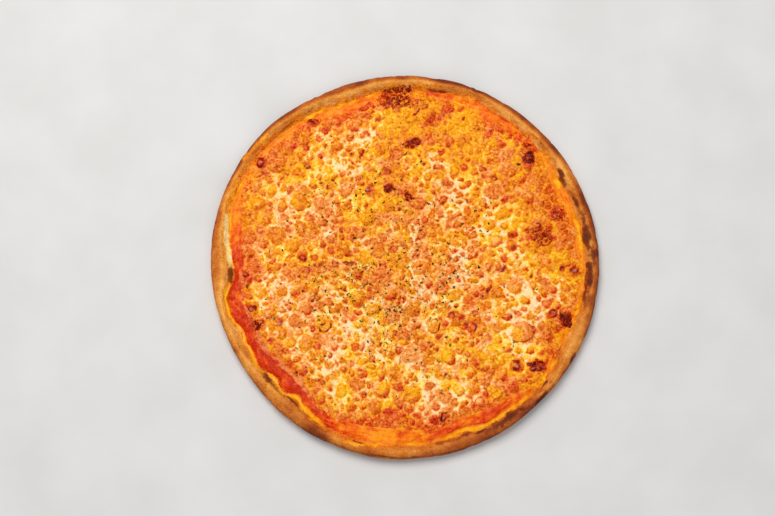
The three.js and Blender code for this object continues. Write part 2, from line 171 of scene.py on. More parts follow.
BURNT_BLISTERS = [
    (-63, -48, 5.5, 0.7), (-63, -47.5, 1.8, 0.9), (22, -49, 5.2, 0.8), (52, -50, 3.4, 1.0),
    (47, -46, 2.0, 0.8), (85, -80, 4.4, 0.85), (113, -40, 4.0, 0.9), (90, -55, 8.5, 0.65),
    (98, -52, 2.4, 0.9), (-80, 4.5, 3.2, 1.0), (95.5, -79, 2.0, 0.9), (98, -82.5, 2.4, 1.0),
    (102, -83, 2.5, 1.0), (105.5, -80, 2.3, 0.95), (28.5, -118.5, 3.2, 1.0), (107, 21, 7.5, 0.8),
    (103, 30, 2.4, 0.8), (110, 29, 2.0, 0.7), (102, 14, 2.5, 0.7), (112, 21, 1.6, 0.6),
    (-77, -6, 4.5, 0.5), (-98, -47, 4.6, 0.6), (-114, 81, 4.2, 0.8), (-119, -35, 3.6, 0.85),
    (-29, 60, 3.2, 0.8), (131, -5, 4.4, 0.85), (122, -5, 2.4, 0.8), (-14, 73, 2.6, 0.7),
    (70, 68, 2.6, 0.65), (27, -18, 4.2, 0.5), (74, -4, 4.4, 0.55), (57, -9, 1.5, 0.9),
    (36, -41, 2.8, 0.65), (-124, -9, 2.6, 0.7), (-4, -68, 3.4, 0.5), (-31, 130, 2.2, 0.8),
    (8, 122, 3.4, 0.6), (63, -21, 2.2, 0.6), (-68, -92, 2.0, 0.7), (82, 20, 3.0, 0.5),
]

# Places of colour on the cheese: (x, y, spread, amount)
CREAM_SPOTS = [
    (-62, 100, 10, 0.3), (-35, 103, 10, 0.35), (-103, 50, 12, 0.35), (-85, 33, 10, 0.3),
    (-57, 84, 15, 0.35), (-37, 44, 6, 0.6), (-45, -20, 16, 0.25), (-39, -68, 16, 0.25),
    (60, 45, 24, 0.22), (90, -33, 10, 0.4), (121, -18, 4, 0.8), (0, 78, 9, 0.3), (-100, -20, 14, 0.3),
    (40, -5, 14, 0.25), (80, 3, 16, 0.35), (-96, -78, 12, 0.4), (-75, 75, 14, 0.25), (84, -100, 12, -0.3),
    (-70, -90, 14, 0.3), (8, -20, 9, 0.3), (-110, 45, 7, 0.35), (0, -118, 22, -0.1), (60, 85, 16, -0.2),
]
YELLOW_SPOTS = [
    (-88, 74, 14, 1.0), (-36, 46, 9, 1.0), (-65, 60, 12, 0.5), (85, 0, 12, 0.4), (45, 102, 17, 0.8),
    (-90, 5, 10, 0.5), (62, 20, 16, 0.4), (75, -60, 10, 0.5), (-10, 115, 8, 0.7), (-25, 80, 9, 0.5),
    (45, -75, 14, 0.4), (-20, 60, 9, 0.5),
]
RED_SPOTS = [
    (95, 110, 9, 0.8), (75, 112, 9, 0.7), (-52, 122, 10, 0.7), (-70, 105, 8, 0.3), (-125, -15, 10, 0.6),
    (-122, 5, 8, 0.5), (25, -128, 10, 0.6), (60, -118, 9, 0.5), (114, 56, 11, 0.5), (30, 115, 9, 0.35),
    (-100, -75, 9, 0.45), (80, -98, 11, 0.5), (-40, -120, 12, 0.5), (0, -126, 14, 0.4),
    (112, -75, 9, 0.5),
]
ORANGE_SPOTS = [
    (118, 50, 13, 1.0), (110, 22, 14, 0.9), (5, 108, 15, 0.9), (12, 128, 10, 0.8), (128, -8, 9, 0.7),
    (118, -62, 12, 0.7), (92, 84, 11, 0.8), (100, -92, 9, 0.5), (-8, 64, 12, 0.7), (-122, 35, 11, 0.8),
    (75, 75, 14, 0.4), (-10, -134, 12, 0.6), (42, 102, 13, 0.7), (-88, 74, 9, 0.4), (-36, 46, 7, 0.6),
]
# Long streaks of cream, on the cheese and on the rim: (from angle, from radius, to angle, to radius,
# half width), and the short threads of cheese that are strewn besides
STREAKS = [(214, 121, 229, 125.5, 1.3), (199, 127, 205, 124, 1.0), (283, 128, 272, 132, 1.1)]
RIM_STREAKS = [(165, 145, 181, 135.8, 1.3)]
STREAK_POINTS = 9
STRAND_COUNT = 120
STRAND_POINTS = 7
STRAND_REACH = 122
NO_STRAND = -9.0  # the depth far from every strand
# A crease across the rim: where it meets the lip, and how far round it leans on its way out
CREASE_ANGLE = 222.5
CREASE_LEAN = 3.5

# Dark places on the rim, burnt, and the last two a painted shadow on the front outer edge: (angle, radius,
# half the angle, half the width, amount)
CHAR_AND_SHADOW_MARKS = [
    (1.5, 146, 3.2, 2.6, 0.7), (2.5, 149.3, 2.2, 1.0, 0.8), (8.5, 142.6, 3.4, 2.3, 1.0),
    (13.5, 142.6, 2.4, 1.3, 0.55), (20, 141.4, 3.0, 1.4, 0.75), (28, 139.8, 1.6, 1.4, 0.9),
    (30.3, 141.2, 1.6, 1.3, 0.9), (41, 142, 1.8, 1.8, 0.2), (57, 139.8, 5, 0.5, 0.4),
    (78.5, 141.6, 3.8, 0.8, 0.65), (76, 150.3, 1.2, 0.6, 0.5), (122.3, 143.2, 1.6, 0.8, 0.45),
    (131, 144.2, 2.6, 0.7, 0.4), (143, 148, 2.5, 0.9, 0.2), (161.4, 141.4, 1.2, 1.0, 0.75),
    (183.6, 136.2, 2.2, 1.7, 0.75), (220.4, 138.6, 1.8, 1.7, 0.75), (231.8, 137.6, 2.1, 1.0, 0.8),
    (254.6, 143.4, 2.6, 0.6, 0.6), (289.3, 140.3, 1.8, 1.3, 0.6), (293.5, 142.5, 2.2, 0.9, 0.8),
    (299, 144, 2.5, 1.2, 0.6), (302.8, 143.5, 4.4, 2.6, 1.0), (314, 147.8, 3.0, 1.4, 0.95),
    (318.6, 142.2, 1.6, 0.7, 0.7), (329.5, 148.6, 1.6, 1.2, 0.85), (345.5, 149.8, 2.4, 0.8, 0.5),
    (351, 140.5, 2.2, 1.2, 0.8), (356.5, 143.2, 4.2, 2.3, 1.0), (8, 143, 16, 2.6, 0.3),
    (303, 144, 10, 2.8, 0.5), (353, 143.5, 8, 2.4, 0.4), (286, 141.5, 8, 1.6, 0.35),
    (224, 139, 5, 1.5, 0.35), (262, 150.4, 12, 0.8, 0.45), (283, 150, 12, 0.8, 0.45),
]
# How brown the rim is round the edge, and how orange the sauce: (at, spread, by)
BROWNING = [
    (2, 10, -0.06), (40, 18, -0.2), (90, 20, 0.03), (125, 22, -0.15), (192, 26, -0.3), (240, 13, 0.26),
    (262, 14, 0.02), (300, 14, 0.24), (335, 14, -0.1),
]
SAUCE_ORANGE = [
    (20, 24, 0.3), (60, 7, 0.1), (90, 14, 0.35), (112, 8, 0.1), (145, 20, 0.5), (198, 24, -0.42),
    (232, 14, -0.22), (262, 10, 0.5), (284, 8, -0.15), (320, 18, 0.25), (350, 12, 0.25),
]
# How milky the sauce is with cheese, and how far its oil spreads and how wide, beyond the usual
MILKY = [(200, 22, 1.0), (232, 10, 0.8), (128, 22, 0.6), (62, 12, 0.5), (10, 20, 0.4), (85, 10, 0.5)]
OIL_REACH = [
    (5, 22, -1.6), (62, 10, 1.0), (92, 12, 1.2), (146, 9, 4.2), (184, 8, 0.8), (188, 2, -0.8),
    (192.5, 3, -2.4), (200, 4, -1.0), (210, 4, -2.0), (216, 3, 0.2), (225.5, 2.4, 1.6), (231, 1.6, -1.6),
    (237, 4, -0.6), (250, 5, 1.6), (262, 10, 0.6), (310, 18, -1.2), (345, 10, -1.0),
]
# Where the sauce stays back from the crust between scallops, and where it runs up: (at, spread, by)
SAUCE_SCALLOPS = [
    (183.5, 2.6, -2.6), (191, 2.2, 2.4), (203, 2.5, -4.2), (209.5, 1.8, -2.0), (221.5, 2.2, -3.6),
    (231.5, 1.6, -1.8),
]
OIL_USUAL_WIDTH = 9.3
OIL_WIDTH = [(208, 22, -4.6), (298, 14, -2.5), (75, 12, -1.0), (146, 12, 3.0)]

# Colours of the cheese from its darkest to its lightest tone: in the main, salmon, oily and red
TONE_STEPS = (0, 0.15, 0.35, 0.52, 0.7, 0.85, 1)
CHEESE_COLOURS = [
    "#a03404 #c85608 #e2760c #f09216 #f8aa2e #fcc466 #fedea0",
    "#9c2c08 #c64c12 #e07022 #ee8a3a #f8a85a #fcc280 #fedcac",
    "#a84e00 #d46e00 #ec8c02 #f6a406 #fcb81a #fecc48 #fee48c",
    "#8a1604 #b42a06 #d23e0c #e25618 #ec782e #f49e54 #fcca88",
]

# The floor and the lamps, in metres: (name, place, size, power in watts, colour)
FLOOR_HALF = 3.0
FLOOR_GAP = 0.0002
LAMPS = [
    ("window", (-0.35, 0.75, 1.65), 1.1, 26, (1, 0.98, 0.96)),
    ("fill", (0.5, -1.1, 1.4), 1.6, 6, (0.98, 0.99, 1)),
]
SURROUND_COLOUR = (0.93, 0.96, 1, 1)
SURROUND_STRENGTH = 0.36

# The camera looks down on the pizza, which fills half of a 775 by 516 picture
IMAGE_WIDTH = 775
PIZZA_PIXELS = 389
PIZZA_RIGHT_OF_MIDDLE = 18
PIZZA_BELOW_MIDDLE = 5.5
CAMERA_ELEVATION = 79.5
CAMERA_LENS = 70


def bumps_at(bumps, degrees):
    """The sum of a list's bumps at each angle."""
    total = np.zeros_like(degrees, dtype=float)
    for at, spread, by in bumps:
        apart = (degrees - at + 540) % 360 - 180
        total += by * np.exp(-0.5 * (apart / spread) ** 2)
    return total


def spots_at(spots, x, y):
    """The sum of a list's round spots at each place."""
    total = np.zeros(np.shape(x))
    for at_x, at_y, spread, amount in spots:
        total += amount * np.exp(-0.5 * ((x - at_x) ** 2 + (y - at_y) ** 2) / spread**2)
    return total


def ripple(degrees, phase):
    """Small waves round the edge, about 1 high."""
    turn = np.radians(degrees)
    waves = 0.5 * np.sin(11 * turn + phase) + 0.3 * np.sin(19 * turn + 2.3 * phase)
    return waves + 0.2 * np.sin(31 * turn + 4.1 * phase)


def section_at(degrees):
    """The pizza's radii and heights at each angle."""
    outer = OUTER_RADIUS + bumps_at(OUTLINE_BULGES, degrees) + OUTLINE_RIPPLE * ripple(degrees, 1)
    inner = LIP_RADIUS + bumps_at(LIP_SCALLOPS, degrees) + LIP_RIPPLE * ripple(degrees, 2)
    lip = np.minimum(inner, outer - LEAST_RIM_WIDTH)
    foot = lip - FOOT_INSET
    return {
        "outer": outer,
        "lip": lip,
        "crest": lip + CREST_SHARE * (outer - lip),
        "height": RIM_HEIGHT + bumps_at(RIM_SWELLS, degrees) + HEIGHT_RIPPLE * ripple(degrees, 3),
        "foot": foot,
        "cheese": foot + CHEESE_REACH + bumps_at(CHEESE_BAYS, degrees) + CHEESE_RIPPLE * ripple(degrees, 4),
    }


def smooth(share):
    """An eased step from 0 to 1."""
    share = np.clip(share, 0, 1)
    return share * share * (3 - 2 * share)


def lerp(low, high, share):
    return low + (high - low) * share


def angle_of(x, y):
    return np.degrees(np.arctan2(y, x))


def polar(away, turn):
    """The place so far from the middle at an angle in radians."""
    return away * np.cos(turn), away * np.sin(turn)


def turned(dx, dy, turn):
    """A step as measured along and across a line at an angle in radians."""
    cosine, sine = np.cos(turn), np.sin(turn)
    return dx * cosine + dy * sine, dy * cosine - dx * sine


def noise(places, size, seed):
    """Soft random values from -1 to 1, in lumps of that size."""
    lattice = np.random.RandomState(seed).uniform(-1, 1, (LATTICE_SIZE,) * 3)
    spot = places / size + 0.37
    cell = np.floor(spot).astype(int)
    share = smooth(spot - cell)
    value = np.zeros(places.shape[:-1])
    for corner in itertools.product((0, 1), repeat=3):
        weight = np.where(corner, share, 1 - share).prod(axis=-1)
        i, j, k = np.moveaxis((cell + corner) % LATTICE_SIZE, -1, 0)
        value += weight * lattice[i, j, k]
    return value


def clouds(places, size, seed, octaves=3):
    """Noise with finer and fainter noise on it, roughly from -1 to 1."""
    steps = range(octaves)
    return 1.4 * sum(0.55**step * noise(places, size / 2**step, seed + 11 * step) for step in steps)


def flat_places(x, y):
    return np.stack([x, y, np.zeros_like(x)], axis=-1)


def streaks(x, y, length, width, seed):
    """Random values from about -1 to 1, in lumps of that size that run round the rim."""
    around_x, around_y = polar(LIP_RADIUS / length, np.arctan2(y, x))
    return clouds(np.stack([around_x, around_y, np.hypot(x, y) / width], axis=-1), 1, seed, 2)


def chance(seed):
    """The solids' own source of chance, from 0 to 1."""
    state = seed
    while True:
        state = (state * 1664525 + 1013904223) % 4294967296
        yield state / 4294967296


def inward_from_edge(x, y):
    return section_at(angle_of(x, y))["cheese"] - np.hypot(x, y)


def scatter_blisters(random):
    """The solids' blisters, as rows of x, y, radius and how burnt."""
    placed = [list(row) for row in SCORCHED]
    for tries, least, most in BLISTER_SIZES:
        for _ in range(tries):
            if len(placed) >= BLISTER_LIMIT:
                break
            away = OUTER_RADIUS * math.sqrt(next(random))
            x, y = polar(away, 2 * math.pi * next(random))
            radius = lerp(least, most, next(random))
            room = all(math.hypot(row[0] - x, row[1] - y) > row[2] + radius + BLISTER_GAP for row in placed)
            if room and inward_from_edge(x, y) > radius + EDGE_MARGIN:
                placed.append([x, y, radius, 0.0])
    return placed


def split_large(placed, draw):
    """The cells that show: the solids' blisters, of which many of the large ones part into three."""
    cells = placed[: len(SCORCHED)]
    for x, y, radius, burnt in placed[len(SCORCHED) :]:
        if radius < SPLIT_RADIUS or draw.random() > SPLIT_SHARE + spots_at(FINE_PLACES, x, y):
            cells.append([x, y, 0.92 * radius, burnt])
            continue
        turn = 2 * math.pi * draw.random()
        for third in range(3):
            dx, dy = polar(0.56 * radius, turn + third * 2 * math.pi / 3 + 0.3 * draw.normal())
            cells.append([x + dx, y + dy, lerp(0.4, 0.54, draw.random()) * radius, 0.0])
    return cells


def fill_with_small_cells(cells, draw):
    """The cells and smaller ones, wherever there is room between the others."""
    rows = np.array(cells)
    for tries, least, most, gap in SMALL_CELLS:
        away = SMALL_CELL_REACH * np.sqrt(draw.random(tries))
        turn = 2 * math.pi * draw.random(tries)
        sizes = lerp(least, most, draw.random(tries) ** 1.4)
        for x, y, radius in zip(*polar(away, turn), sizes):
            apart = np.hypot(rows[:, 0] - x, rows[:, 1] - y) - rows[:, 2] - radius
            if apart.min() > gap and inward_from_edge(x, y) > radius + 0.5:
                rows = np.vstack([rows, [x, y, radius, 0.0]])
    return rows


def join_cells(rows, draw):
    """A number for each cell; cells of one number have no thread between them."""
    groups = np.arange(len(rows))
    for i in np.flatnonzero(draw.random(len(rows)) < JOINED_SHARE):
        apart = np.hypot(rows[:, 0] - rows[i, 0], rows[:, 1] - rows[i, 1]) - rows[:, 2] - rows[i, 2]
        apart[i] = np.inf
        near = apart.argmin()
        if apart[near] < 1.2 and rows[i, 3] == 0 and rows[near, 3] == 0:
            groups[groups == groups[i]] = groups[near]
    return groups


def describe_cells(rows, draw):
    """Each cell's size, form and colour."""
    count = len(rows)
    x, y, radius, burnt = rows.T
    ringed = burnt >= 0.3
    plain = clouds(flat_places(x, y), 26, 71)
    brownable = (burnt == 0) & (radius > 1.4) & (radius < 3.8)
    browned = brownable * (draw.random(count) < 0.17) * lerp(0.2, 0.6, draw.random(count) ** 1.5)
    return {
        "x": x,
        "y": y,
        "radius": radius,
        "group": join_cells(rows, draw),
        "turn": math.pi * draw.random(count),
        "flat": 1 - 0.42 * draw.random(count) ** 1.3 * (burnt == 0),
        "browned": browned,
        "tone": 0.06 * plain + 0.055 * draw.normal(size=count) + 0.05 * ringed,
        "pink": 0.3 * plain + 0.7 * draw.normal(size=count),
        "ring": np.clip(0.5 + 0.4 * draw.normal(size=count), 0, 1) * np.where(radius > 3.4, 0.6, 1),
        # middle: how much lighter and pinker each cell's centre is, a painted highlight on its top; below
        # zero the centre is darker instead
        "middle": np.clip(0.15 + 0.6 * draw.normal(size=count), -1, 1) * (1 - ringed),
        # painted_shading_strength: how strongly each cell carries its painted shade and painted light
        "painted_shading_strength": np.clip(0.6 + 0.5 * draw.normal(size=count), 0, 1.3),
        "red": (draw.random(count) < 0.42) * (radius < 4.4) * lerp(0.15, 0.9, draw.random(count)),
    }


def plain_blisters(rows):
    """Round forms at the rows' places, for the relief."""
    x, y, radius, _ = np.array(rows).T
    count = len(rows)
    alike = {"group": np.arange(count), "turn": np.zeros(count), "flat": np.ones(count)}
    return {"x": x, "y": y, "radius": radius, **alike}


def nearest_form(x, y, forms, mixed=()):
    """For each place: the nearest form's number and share of radius, its distance and the next group's.

    The named values of the forms come too, mixed so that they pass softly from form to form."""
    number = np.zeros(len(x), dtype=int)
    share, edge, next_edge = np.zeros((3, len(x)))
    table = np.array([forms[name] for name in mixed]).T
    values = np.zeros((len(x), len(mixed)))
    for part in np.array_split(np.arange(len(x)), max(1, len(x) // 4000)):
        along, across = turned(x[part, None] - forms["x"], y[part, None] - forms["y"], forms["turn"])
        apart = np.hypot(along, across / forms["flat"])
        gap = apart - forms["radius"]
        nearest = gap.argmin(axis=1)
        rows = np.arange(len(part))
        number[part] = nearest
        edge[part] = gap[rows, nearest]
        share[part] = apart[rows, nearest] / forms["radius"][nearest]
        same = forms["group"] == forms["group"][nearest, None]
        next_edge[part] = np.where(same, np.inf, gap).min(axis=1)
        if mixed:
            weight = np.exp((edge[part, None] - gap) / BLENDING)
            values[part] = weight @ table / weight.sum(axis=1, keepdims=True)
    return number, share, edge, next_edge, dict(zip(mixed, values.T))


def streak_line(from_angle, from_radius, to_angle, to_radius, half):
    """A bent line from one place to another round the middle, with its half width."""
    turns = np.radians(np.linspace(from_angle, to_angle, STREAK_POINTS))
    return *polar(np.linspace(from_radius, to_radius, STREAK_POINTS), turns), half


def strands(draw):
    """Short bent threads of cheese, as rows of points with a half width."""
    lines = [streak_line(*streak) for streak in STREAKS]
    for _ in range(STRAND_COUNT):
        away = STRAND_REACH * math.sqrt(draw.random())
        x, y = polar(away, 2 * math.pi * draw.random())
        heading = 2 * math.pi * draw.random()
        bend = draw.normal() * 0.16
        step = lerp(5, 15, draw.random()) / STRAND_POINTS
        dx, dy = polar(step, heading + bend * np.arange(STRAND_POINTS))
        lines.append((x + np.cumsum(dx), y + np.cumsum(dy), lerp(0.5, 0.9, draw.random())))
    return lines


def strand_distance(x, y, lines):
    """How far each place is inside the nearest strand, in millimetres; negative outside."""
    depth = np.full(x.shape, NO_STRAND)
    for line_x, line_y, half in lines:
        reach = half + 3
        inside = (x > line_x.min() - reach) & (x < line_x.max() + reach)
        inside &= (y > line_y.min() - reach) & (y < line_y.max() + reach)
        near = np.nonzero(inside)
        for from_x, from_y, dx, dy in zip(line_x, line_y, np.diff(line_x), np.diff(line_y)):
            share = ((x[near] - from_x) * dx + (y[near] - from_y) * dy) / (dx * dx + dy * dy)
            share = np.clip(share, 0, 1)
            apart = np.hypot(x[near] - from_x - share * dx, y[near] - from_y - share * dy)
            depth[near] = np.maximum(depth[near], half - apart)
    return depth


def scorch_at(x, y, bent_x, bent_y):
    """How burnt each place is in patches and in single blisters, how much painted highlight the blisters
    carry and how reddened.
    """
    patch, blister, ash, halo = np.zeros((4, *x.shape))
    here = flat_places(x, y)
    ragged = clouds(here, 4, 35, 2)
    for at_x, at_y, half_length, half_width, turn, amount in BURNT_PATCHES:
        along, across = turned(bent_x - at_x, bent_y - at_y, math.radians(turn))
        away = np.hypot(along / half_length, across / half_width)
        patch = np.maximum(patch, amount * smooth((1.3 - away + 0.35 * ragged) / 0.6))
        halo = np.maximum(halo, min(1, 1.2 * amount) * smooth((2.0 - away) / 1.4))
    broken = 0.75 + 0.7 * noise(here, 2.4, 36)
    for at_x, at_y, radius, amount in BURNT_BLISTERS:
        dx = (lerp(x, bent_x, 0.8) - at_x) / radius
        dy = (lerp(y, bent_y, 0.8) - at_y) / radius
        along, across = turned(dx, dy, at_x + at_y)
        away = np.hypot(0.88 * along, 1.12 * across)
        if radius < WIDE_RING:
            ring = np.exp(-(((away - 0.68) / 0.34) ** 2))
            filled = 0.55 + 0.2 * math.sin(3 * at_x)
            dark = np.maximum(ring, filled * smooth((0.9 - away) / 0.4)) * (0.85 + 0.4 * ragged)
            # A painted highlight, pale mauve, just off the middle of each small burnt blister.
            light = np.exp(-(((dx - 0.08) ** 2 + (dy + 0.12) ** 2) / 0.16)) * smooth((radius - 1.3) / 1.5)
            ash = np.maximum(ash, 1.2 * amount * light)
            halo = np.maximum(halo, 0.8 * amount * smooth((1.8 - away) / 0.9))
        else:
            dark = 0.75 * np.exp(-(((away - 0.88) / (0.7 / radius)) ** 2))
        # side: the burnt blister darker towards its lower right, a painted shade there, broken by noise
        side = np.clip(broken + 0.3 * (dx - dy), 0.3, 1.15)
        blister = np.maximum(blister, 1.05 * amount * dark * side)
    return patch, blister, ash, halo


def cheese_relief(x, y, inward, blisters, cells, lines):
    """The cheese's height above its underside, and what colours it."""
    here = flat_places(x, y)
    bent_x = x + 1.4 * clouds(here, 6.5, 21, 2) + 0.45 * noise(here, 2.4, 22)
    bent_y = y + 1.4 * clouds(here, 6.5, 23, 2) + 0.45 * noise(here, 2.4, 24)
    softened = ("tone", "pink", "ring", "red")
    number, share, edge, next_edge, mixed = nearest_form(bent_x, bent_y, cells, softened)
    dome, dome_share, _, _, _ = nearest_form(lerp(x, bent_x, 0.85), lerp(y, bent_y, 0.85), blisters)
    radius = cells["radius"][number]
    dome_radius = blisters["radius"][dome]
    calm = np.clip(spots_at(ORANGE_SPOTS, x, y), 0, 1)
    settled = smooth((inward - 1) / 6)
    outer = smooth((24 - inward) / 16)
    detail = settled * (1 - 0.6 * calm)

    wave = 0.22 * np.sin(x / 13 + 0.7) * np.cos(y / 11) + 0.16 * np.sin((x + y) / 7.5)
    sheet = lerp(CHEESE_EDGE_THICKNESS, CHEESE_THICKNESS + wave, smooth(inward / CHEESE_EDGE_FADE))
    middle = np.where(dome_radius > SUNKEN_RADIUS, SUNKEN_MIDDLE, DOMED_MIDDLE)
    crown = lerp(middle, 1, smooth(dome_share / CROWN_SHARE))
    fall = 1 - smooth((dome_share - 0.35) / 0.75)
    rise = 0.65 * dome_radius * BLISTER_HEIGHT_SHARE * crown * fall
    gap = 1.7 + 0.6 * clouds(here, 17, 26, 2)
    thread = THREAD_HALF_WIDTH + 0.5 * clouds(here, 9, 25, 2) - (next_edge - edge) / 2
    vein = ROUNDING * np.logaddexp((edge - gap) / ROUNDING, thread / ROUNDING)
    vein = np.maximum(vein, strand_distance(x, y, lines) - 0.2)
    puff = 0.28 * smooth(-vein / 2) * smooth(radius / 3)
    rope = 0.1 * smooth((vein + 0.5) / 1.2) * settled
    patch, ring, ash, halo = scorch_at(x, y, bent_x, bent_y)
    # Painted light and shade on each cell: darker and redder towards its lower right, lighter and pinker
    # towards its upper left; the browned spots and their rings lean to the shaded side.
    lit = ((x - cells["x"][number]) * 0.6 - (y - cells["y"][number]) * 0.8) / radius
    lit = np.clip(lit, -1, 1) * smooth((radius - 1) / 1.5) * smooth((1.25 - share) / 0.3)
    browned = cells["browned"][number] * smooth((0.95 - share + 0.35 * lit) / 0.6) * settled
    ring = np.maximum(ring, browned * np.clip(0.65 + 0.6 * lit, 0.1, 1.1))
    # The browned cells carry a painted highlight at their centres.
    ash = np.maximum(ash, 0.7 * browned * np.exp(-((share / 0.4) ** 2)))
    crags = patch * (0.35 * clouds(here, 2.0, 31) + 0.1)
    lumps = 0.16 * clouds(here, 8, 32) + 0.07 * clouds(here, 2.4, 33, 2)
    top = sheet + rise + puff + rope + crags + lumps
    patchy = clouds(here, 34, 41, 2)
    mottled = clouds(here, 9, 42)
    top = np.maximum(top - 0.35 * (1 - settled), 0.25)
    top = lerp(0.1, top, smooth((inward + 1.6 * mottled + 0.5) / 5))

    red = spots_at(RED_SPOTS, x, y) + 0.4 * clouds(here, 12, 44) - 0.14 + 0.1 * outer + 0.16 * calm
    red += 0.5 * smooth((9 - inward + 4 * mottled) / 8) * (1 - calm)
    strength = 0.5 + 0.24 * patchy + 0.3 * mottled + spots_at(CREAM_SPOTS, x, y) - 0.08 * outer
    strength -= 0.75 * calm + 0.4 * np.clip(red, 0, 1) + 0.4 * halo
    strength *= smooth((inward - 4 + 5 * mottled) / 9)
    yellow = spots_at(YELLOW_SPOTS, x, y) + 0.45 * calm + 0.35 * patchy + 0.1
    yellow -= 0.5 * clouds(here, 13, 46) + 0.3 * mixed["pink"] * detail
    # The cells' centres carry a painted highlight, lighter and pinker, from their middle values.
    centre = cells["middle"][number] * (1 - smooth(share / 0.8)) * smooth((radius - 1) / 1.5)
    return top, {
        "vein": vein,
        "strength": np.clip(strength, 0, 1),
        "ring": mixed["ring"] * (0.6 + 0.5 * noise(here, 4, 45)) * detail,
        "middle": centre * detail,
        "tone": mixed["tone"] * detail - 0.12 * halo - 0.03 * outer - 0.08 * calm - 0.03 * smooth(y / 70),
        "pink": np.clip(0.35 + 0.7 * mixed["pink"] * detail - 0.5 * yellow, 0, 1),
        "yellow": np.clip(yellow, 0, 1),
        "red": np.clip(red + mixed["red"] * detail + 0.5 * halo, 0, 1),
        "patch": patch,
        "singed": ring,
        "ash": ash,
        "lit": lit * cells["painted_shading_strength"][number] * detail,
        "soaked": smooth((4 - inward + 4 * mottled) / 6),
        "herb": herb_at(x, y),
    }


def leaf_clumps(x, y):
    """Where the oregano lies thinner and thicker, from -1 to 1."""
    return noise(flat_places(x, y), 16, 91)


def herb_at(x, y):
    """How thick the crumbs of oregano lie, from 0 to 1."""
    away = np.hypot(x - FLAKE_CENTRE[0], y - FLAKE_CENTRE[1])
    return np.clip(np.exp(-0.5 * (away / CRUMB_SPREAD) ** 2) * (0.7 + 0.7 * leaf_clumps(x, y)), 0, 1)


def wet_looks(x, y):
    """What colours the sauce, and the dough and cheese that it has soaked, at each place."""
    degrees = angle_of(x, y)
    section = section_at(degrees)
    here = flat_places(x, y)
    radius = np.hypot(x, y)
    width = OIL_USUAL_WIDTH + bumps_at(OIL_WIDTH, degrees)
    narrow = smooth((OIL_USUAL_WIDTH - width) / 3)
    streak = streaks(x, y, 5.5, 1.2, 89)
    ragged = (1.7 - 0.9 * narrow) * clouds(here, 8, 84) + 0.6 * streak
    reach = bumps_at(OIL_REACH, degrees) + bumps_at(SAUCE_SCALLOPS, degrees)
    within = section["lip"] + 2.4 + reach - radius + ragged
    # shaded thins the amber oil towards the far side's slope and rim, a painted shade there
    shaded = 1 - 0.2 * np.maximum(np.sin(np.radians(degrees)), 0) * smooth((radius - section["foot"]) / 4)
    patches = lerp(np.clip(0.7 + 0.6 * clouds(here, 11, 86, 2), 0.2, 1), 1.25, 0.9 * narrow)
    milky = bumps_at(MILKY, degrees)
    dashes = smooth((streaks(x, y, 9, 2.2, 93) - 0.1) / 0.6)
    milk = milky * smooth((section["cheese"] + 2.6 + ragged - radius) / 3.5)
    milk = np.maximum(milk, 0.55 * dashes * (milky > 0.1))
    orange = 0.45 + bumps_at(SAUCE_ORANGE, degrees) + 0.26 * clouds(here, 8, 83) + 0.2 * streak
    orange += 0.25 * narrow * smooth((4.5 - within) / 3)
    return {
        "orange": np.clip(orange, 0, 1),
        "oil": patches * shaded * smooth(2.2 * within / width) * smooth(2.2 * (width - within) / width),
        "film": smooth((within - 0.45 * width) / 2) * (radius > section["foot"] - 4),
        "streak": streak,
        "milk": milk,
        "cream": rim_cream(x, y),
        "patch": scorch_at(x, y, x + ragged, y + ragged)[0],
    }


def disc_grid(count):
    """A square grid of places pressed into a unit disc, all cells alike in area."""
    line = np.linspace(-1, 1, count)
    a, b = np.meshgrid(line, line)
    wide = np.abs(a) > np.abs(b)
    radius = np.where(wide, a, b)
    other = np.where(wide, b, a)
    tilt = (math.pi / 4) * other / np.where(radius == 0, 1, radius)
    x, y = polar(radius, np.where(wide, tilt, math.pi / 2 - tilt))
    return x.ravel(), y.ravel()


def grid_faces(index):
    """The four-sided faces of a grid of point numbers."""
    corners = [index[:-1, :-1], index[:-1, 1:], index[1:, 1:], index[1:, :-1]]
    return np.stack(corners, axis=-1).reshape(-1, 4).tolist()


def grid_edge(index):
    """The point numbers round a grid's edge."""
    return np.concatenate([index[0, :-1], index[:-1, -1], index[-1, :0:-1], index[:0:-1, 0]])


def add_object(name, data):
    """A new object in the scene."""
    item = bpy.data.objects.new(name, data)
    bpy.context.collection.objects.link(item)
    return item


def add_mesh(name, places, faces):
    """A smooth mesh from millimetres, as a piece of the object."""
    mesh = bpy.data.meshes.new(name)
    mesh.from_pydata((places * MM).tolist(), [], faces)
    mesh.shade_smooth()
    piece = add_object(name, mesh)
    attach(piece, "root")
    return piece


def store(piece, values):
    """Keeps a number for each of the mesh's points under each name."""
    for name, numbers in values.items():
        layer = piece.data.attributes.new(name, "FLOAT", "POINT")
        layer.data.foreach_set("value", np.asarray(numbers, dtype=np.float32))


